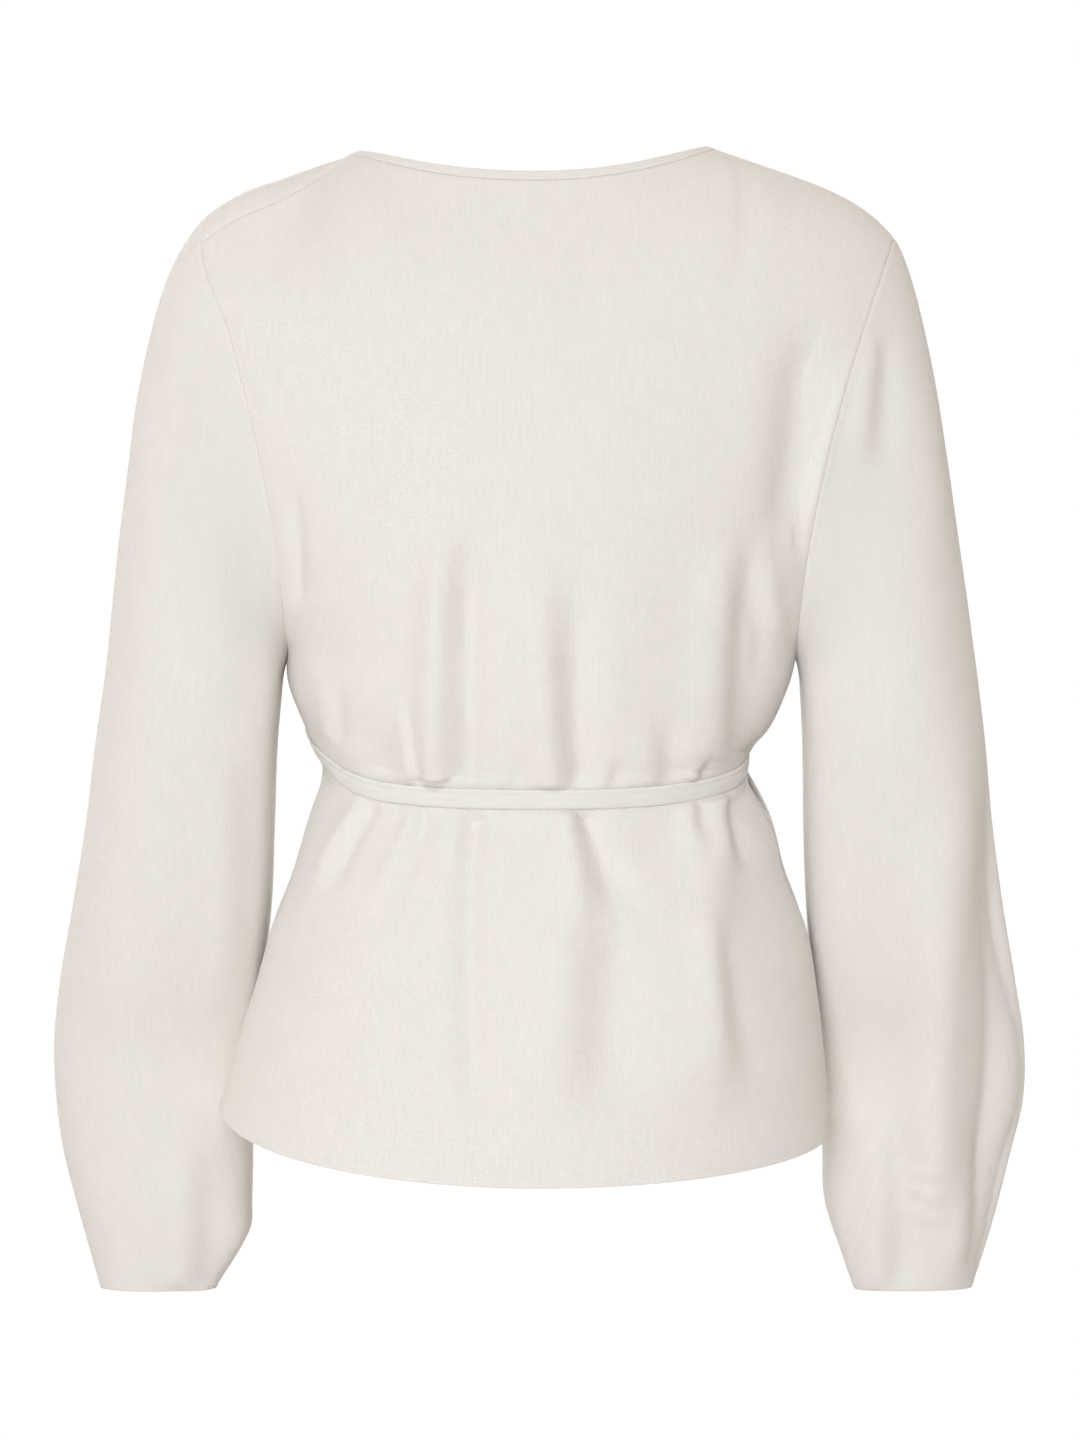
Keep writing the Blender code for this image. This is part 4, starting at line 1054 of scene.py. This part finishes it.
SHORT_STEPS, EDGE_OFF = 6, 1.7       # places along the short tie, and band widths that it clears
start, start_out = on_body([Way(FRONT, reach_of(LEFT, WAIST_UP), TIE_LEVEL, WRAP_LIFT)])
start = start[0] - unit(start[0] - knot_at) * (BAND_WIDTH * EDGE_OFF + SEAM_GAP)
line = np.linspace(start, knot_at - beside_knot - sink, SHORT_STEPS)
out = np.linspace(start_out[0], knot_out, SHORT_STEPS)
tie_front = strip("cardigan_tie_front", line, np.tile(knot_up, (SHORT_STEPS, 1)), out,
                  strip_profile(TIE_WIDTH, TIE_THICK))

# %% [markdown]
# ## The hanging ends and the knot
# The two ends leave the knot side by side and hang down over the flared part, one longer than the
# other. The knot is one rounded form, drawn in and a little twisted where the strip wraps round.

# %% Tie ends
End = namedtuple("End", "name top bottom up lift")
TIE_ENDS = [End("cardigan_tie_end_long", -0.750, -0.742, 0.13, 3.0),
            End("cardigan_tie_end_short", -0.776, -0.786, 0.24, 6.9)]
ENDS_UP = 0.68                       # the ends start at this height on the body
END_SLIM = (0.6, 0.4)                # they are this much narrower and thinner than the tie
hanging = []
for end in TIE_ENDS:
    share = np.linspace(0, 1, 24)[1:]
    ways = [Way(FRONT, end.top + (end.bottom - end.top) * s, ENDS_UP + (end.up - ENDS_UP) * s,
                end.lift + 0.6 * np.sin(5 * s)) for s in share]
    line, outs = on_body(ways)
    shift = np.dot(line[0] - knot_at, knot_along)
    top = (knot_at + knot_along * shift - knot_up * (KNOT_SIZE[1] / 2 + SEAM_GAP)
           + knot_out * (end.lift - KNOT_LIFT))
    line, outs = smooth_line(np.concatenate([[top], line]), np.concatenate([[knot_out], outs]), 3.0)
    wide = np.cross(outs, np.gradient(line, axis=0))
    wide = np.where(np.sum(wide * knot_along, axis=-1, keepdims=True) < 0, -wide, wide)
    profile = strip_profile(TIE_WIDTH - END_SLIM[0], TIE_THICK - END_SLIM[1], join=2.2)
    hanging.append(strip(end.name, line, wide, outs, profile))


# %% Knot
KNOT_ROUND, KNOT_SQUARE, KNOT_TWIST = 0.35, 0.65, 0.10
WRAP_DEPTH, WRAP_WIDTH, WRAP_OFF = 0.16, 0.12, 0.58   # the knot is drawn in where the strip wraps it


def knot_piece(name):
    """A squared ball, drawn in on both sides of its middle and a little twisted."""
    bm = bmesh.new()
    bmesh.ops.create_uvsphere(bm, u_segments=28, v_segments=16, radius=0.5)
    for vert in bm.verts:
        x, y, z = vert.co * 2
        square = 1 / max(abs(x) ** 4 + abs(y) ** 4 + abs(z) ** 4, 1e-6) ** 0.25
        x, y, z = (c * (KNOT_ROUND + KNOT_SQUARE * square) for c in (x, y, z))
        wrap = 1.0 - WRAP_DEPTH * bell(abs(x), WRAP_WIDTH, WRAP_OFF) + 0.05 * np.cos(x * 2)
        twist = KNOT_TWIST * np.sin(3.2 * y + 1.2 * x)
        place = (knot_at + knot_along * (x * KNOT_SIZE[0] * 0.5)
                 + knot_up * (y * wrap * KNOT_SIZE[1] * 0.5)
                 + knot_out * ((z * wrap + twist * (1 - z * z)) * KNOT_SIZE[2] * 0.5))
        vert.co = place * MM
    bmesh.ops.subdivide_edges(bm, edges=bm.edges[:], cuts=1, use_grid_fill=True, smooth=0.6)
    bmesh.ops.recalc_face_normals(bm, faces=bm.faces)
    mesh = settle(bm, bpy.data.meshes.new(name))
    layer = mesh.uv_layers.new(name="knit")
    for loop in mesh.loops:
        offset = np.array(mesh.vertices[loop.vertex_index].co[:]) / MM - knot_at
        layer.data[loop.index].uv = (np.dot(offset, knot_along) * MM, np.dot(offset, knot_up) * MM)
    return new_object(name, smooth_faces(mesh))


tie_knot = knot_piece("cardigan_tie_knot")
print("knot with", len(tie_knot.data.polygons), "faces")

# %% [markdown]
# ## The knit
# Plain knitting is columns of small V shapes, the wales, stacked in rows, the courses. The group below
# draws it from a UV map that counts metres: two leaning legs in each wale, a groove between wales
# and a finer one inside each V. It gives a height for bump, a mask of the yarn that the materials use
# to paint shade between the stitches, and a soft unevenness. The numbers for gauge are inputs, so band
# and tie use the same group with their own.


# %% Node helpers
def feed(node, inputs):
    """Give each input its value, or link it where the value is a socket."""
    for name, value in inputs.items():
        if isinstance(value, bpy.types.NodeSocket):
            node.id_data.links.new(value, node.inputs[name])
        else:
            node.inputs[name].default_value = value


def new_node(tree, kind, inputs=(), **settings):
    """A shader node with its settings and its inputs."""
    node = tree.nodes.new("ShaderNode" + kind)
    for name, value in settings.items():
        setattr(node, name, value)
    feed(node, dict(inputs))
    return node


def maths(operation, *values):
    """A Math node in the tree of the sockets that feed it."""
    tree = next(v.id_data for v in values if isinstance(v, bpy.types.NodeSocket))
    return new_node(tree, "Math", enumerate(values), operation=operation).outputs[0]


def add(one, other):
    """The sum of two sockets or numbers."""
    return maths("ADD", one, other)


def subtract(one, other):
    """One socket or number less another."""
    return maths("SUBTRACT", one, other)


def multiply(one, other):
    """The product of two sockets or numbers."""
    return maths("MULTIPLY", one, other)


def hump(value):
    """1 in the middle of a value from -1 to 1, and 0 at and beyond its ends."""
    return maths("MAXIMUM", subtract(1.0, multiply(value, value)), 0.0)


def noise(vector, scale, detail):
    """Noise read at a vector socket."""
    inputs = {"Vector": vector, "Scale": scale, "Detail": detail}
    return new_node(vector.id_data, "TexNoise", inputs).outputs["Fac"]


print("node helpers ready in Blender", bpy.app.version_string)

# %% Knit group
LEG_LEAN = 1.3                       # how steeply the legs of a stitch stand
FLUFF = 0.35                         # height of the loose fibres beside the yarn's own
knit = bpy.data.node_groups.new("fine knit", "ShaderNodeTree")
for name, kind, value in (("Vector", "NodeSocketVector", None), ("Wale", "NodeSocketFloat", 0.00167),
                          ("Course", "NodeSocketFloat", 0.00154), ("Unevenness", "NodeSocketFloat", 0.5)):
    made = knit.interface.new_socket(name=name, in_out="INPUT", socket_type=kind)
    if value is not None:
        made.default_value = value
for name in ("Height", "Yarn", "Mottle", "Streaks"):
    knit.interface.new_socket(name=name, in_out="OUTPUT", socket_type="NodeSocketFloat")
taken, given = (knit.nodes.new("NodeGroup" + end) for end in ("Input", "Output"))
taken = taken.outputs
place = taken["Vector"]
parts = new_node(knit, "SeparateXYZ", {0: place}).outputs
drift = multiply(subtract(noise(place, 170.0, 1.0), 0.5), taken["Unevenness"])
wale = add(maths("DIVIDE", parts["X"], taken["Wale"]), drift)
course = add(maths("DIVIDE", parts["Y"], taken["Course"]), drift)
aside = maths("ABSOLUTE", subtract(maths("FRACT", wale), 0.5))
leg = subtract(multiply(aside, 4.0), 1.0)
lean = maths("FRACT", subtract(course, multiply(aside, LEG_LEAN)))
lean = subtract(multiply(lean, 2.0), 1.0)
yarn = multiply(maths("POWER", hump(leg), 0.5), add(0.45, multiply(hump(lean), 0.55)))
height = add(yarn, multiply(noise(place, 2600.0, 3.0), FLUFF))
along_wales = new_node(knit, "VectorMath", {0: place, 1: (1.0, 0.12, 1.0)}, operation="MULTIPLY")
feed(given, {"Height": height, "Yarn": yarn, "Mottle": noise(place, 38.0, 3.0),
             "Streaks": noise(along_wales.outputs[0], 520.0, 2.0)})
print("knit group with", len(knit.nodes), "nodes")


# %% Knit materials
LIGHT_LEFT_IN_PAINTED_SHADE = 0.30                       # share of the light tone left between the stitches; the rest there is painted shade
BRIGHT, MOTTLE, STREAKS = 0.94, 0.03, 0.09   # brightness at least, and what unevenness adds
ROUGH, YARN_SHINE = 0.96, 0.10       # roughness between the stitches, and what the yarn takes off
RELIEF = 0.00045                     # metres from the valleys to the top of the yarn
SHEEN, SHEEN_ROUGH, SHEEN_TINT = 0.3, 0.45, (1.0, 0.97, 0.93, 1.0)


def knit_material(name, light, painted_stitch_shade, wale, course, bump):
    """Cream knit: light yarn, painted shade of a deeper tone between the stitches, and a soft bloom on the
    surface.
    """
    material = bpy.data.materials.new(name)
    material.use_nodes = True
    tree = material.node_tree
    where = new_node(tree, "UVMap", uv_map="knit").outputs[0]
    stitches = new_node(tree, "Group", {"Vector": where, "Wale": wale, "Course": course}, node_tree=knit)
    yarn = stitches.outputs["Yarn"]
    share = add(LIGHT_LEFT_IN_PAINTED_SHADE, multiply(yarn, 1 - LIGHT_LEFT_IN_PAINTED_SHADE))
    # painted shade: between the stitches the colour is mixed toward the deeper, warmer tone, as if shade
    # fell there
    tone = new_node(tree, "Mix", {0: share, 6: (*painted_stitch_shade, 1), 7: (*light, 1)}, data_type="RGBA")
    value = add(BRIGHT, multiply(stitches.outputs["Mottle"], MOTTLE))
    value = add(value, multiply(stitches.outputs["Streaks"], STREAKS))
    patchy = new_node(tree, "HueSaturation", {"Color": tone.outputs[2], "Value": value})
    relief = {"Height": stitches.outputs["Height"], "Strength": bump, "Distance": RELIEF}
    feed(tree.nodes["Principled BSDF"], {
        "Base Color": patchy.outputs[0],
        "Roughness": subtract(ROUGH, multiply(yarn, YARN_SHINE)),
        "Specular IOR Level": 0.25,
        "Sheen Weight": SHEEN,
        "Sheen Roughness": SHEEN_ROUGH,
        "Sheen Tint": SHEEN_TINT,
        "Normal": new_node(tree, "Bump", relief).outputs[0],
    })
    return material


# the second colour of each knit is the painted shade between its stitches
cream = knit_material("cream knit", light=(0.876, 0.855, 0.828), painted_stitch_shade=(0.76, 0.714, 0.657),
                      wale=0.00167, course=0.00154, bump=0.45)
band_cream = knit_material("cream band", light=(0.860, 0.837, 0.809), painted_stitch_shade=(0.77, 0.724, 0.670),
                           wale=0.0014, course=0.0012, bump=0.4)
tie_cream = knit_material("cream tie", light=(0.846, 0.832, 0.812), painted_stitch_shade=(0.785, 0.758, 0.725),
                          wale=0.0011, course=0.0010, bump=0.35)
for piece in (back, front_left, front_right, sleeve_left, sleeve_right):
    piece.data.materials.append(cream)
neck_band.data.materials.append(band_cream)
for piece in (tie_back, tie_front, tie_knot, *hanging):
    piece.data.materials.append(tie_cream)
print("materials:", [m.name for m in (cream, band_cream, tie_cream)])

# %% [markdown]
# ## What each piece stands for
# Every shell takes the place of one solid of the imported model and hangs on its one body.

# %% Shells in place of the solids
STANDS_FOR = [
    (back, "back", "knit"), (front_left, "front_left", "knit"), (front_right, "front_right", "knit"),
    (sleeve_left, "sleeve_left", "knit"), (sleeve_right, "sleeve_right", "knit"),
    (neck_band, "neck_band", "band"), (tie_back, "tie_back", "tie"), (tie_front, "tie_front", "tie"),
    (tie_knot, "tie_knot", "tie"), (hanging[0], "tie_end_long", "tie"), (hanging[1], "tie_end_short", "tie"),
]
for piece, node, finish in STANDS_FOR:
    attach(piece, "root")
    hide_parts(node)
print(len(STANDS_FOR), "pieces declared")

# %% [markdown]
# ## Floor, air and light
# The garment stands in a bright white room. Most of its light comes from the room itself, a warm
# light from the wearer's front and a faint one from the wearer's left. Two large soft lights stand on
# the camera's side, one high and one beside the camera, and a third lights the front. Cream knit shows
# its folds only as faint warm shades in such light. A pale round floor lies as far below the neck as a
# standing wearer's would, and lightens towards its rim to meet the white room.

# %% Floor
FLOOR_Z, FLOOR_RADIUS = -1.42, 3.9
FLOOR_GLOW = {"From Min": 1.5, "From Max": 4.1, "To Min": 0.40, "To Max": 0.75}   # by distance
bm = bmesh.new()
bmesh.ops.create_circle(bm, cap_ends=True, segments=96, radius=FLOOR_RADIUS)
bmesh.ops.translate(bm, verts=bm.verts, vec=(0, 0, FLOOR_Z))
floor = new_object("studio_floor", settle(bm, bpy.data.meshes.new("studio_floor")))
pale = bpy.data.materials.new("studio floor")
pale.use_nodes = True
tree = pale.node_tree
spot = new_node(tree, "TexCoord").outputs["Object"]
rim = new_node(tree, "VectorMath", {0: spot}, operation="LENGTH").outputs["Value"]
glow = new_node(tree, "MapRange", {"Value": rim, **FLOOR_GLOW}).outputs[0]
feed(tree.nodes["Principled BSDF"], {
    "Base Color": (0.7, 0.7, 0.69, 1),
    "Roughness": 0.9,
    "Emission Color": (1, 1, 1, 1),
    "Emission Strength": multiply(glow, new_node(tree, "LightPath").outputs["Is Camera Ray"]),
})
floor.data.materials.append(pale)
print("floor", FLOOR_RADIUS * 2, "m across at", FLOOR_Z, "m")

# %% Lights
LIT_PLACE = (0, 0, -0.32)            # the middle of the garment


def soft_light(name, place, size, power, colour):
    """A square area light turned to the garment."""
    data = bpy.data.lights.new(name, "AREA")
    data.shape = "SQUARE"
    data.size = size
    data.energy = power
    data.color = colour
    light = new_object(name, data)
    light.location = place
    aim = np.array(LIT_PLACE) - np.array(place)
    tip = np.arccos(-aim[2] / np.linalg.norm(aim))
    light.rotation_euler = (tip, 0.0, np.arctan2(aim[0], -aim[1]) + np.pi)
    light.visible_camera = False


soft_light("key", (0.19, 6.27, 3.61), 2.4, 162, (0.98, 1.0, 1.0))
soft_light("beside the camera", (1.14, 6.46, 0.10), 2.4, 170, (0.99, 1.0, 1.0))
soft_light("for the front", (2.47, -5.7, 2.38), 3.0, 90, (0.77, 1.0, 1.22))

# %% Room
world = bpy.data.worlds.new("studio air")
world.use_nodes = True
air = world.node_tree
way = new_node(air, "TexCoord").outputs["Generated"]
split = new_node(air, "SeparateXYZ", {0: way}).outputs


def from_side(axis, toward, colour):
    """Light of one colour that comes from one side of the room and fades to nothing on the other."""
    share = add(0.5, multiply(split[axis], 0.5 * toward))
    return new_node(air, "VectorMath", {0: colour, "Scale": share}, operation="SCALE").outputs[0]


sides = {0: from_side("X", 1, (0.13, 0.14, 0.14)), 1: from_side("Y", -1, (1.18, 1.02, 0.90))}
both = new_node(air, "VectorMath", sides, operation="ADD").outputs[0]
is_seen = new_node(air, "LightPath").outputs["Is Camera Ray"]
seen = new_node(air, "Mix", {0: is_seen, 6: both, 7: (1.02, 1.02, 1.02, 1)}, data_type="RGBA")
feed(air.nodes["Background"], {"Color": seen.outputs[2]})
bpy.context.scene.world = world
bpy.context.scene.view_settings.view_transform = "Standard"
print("a bright room from", len(air.nodes), "nodes")
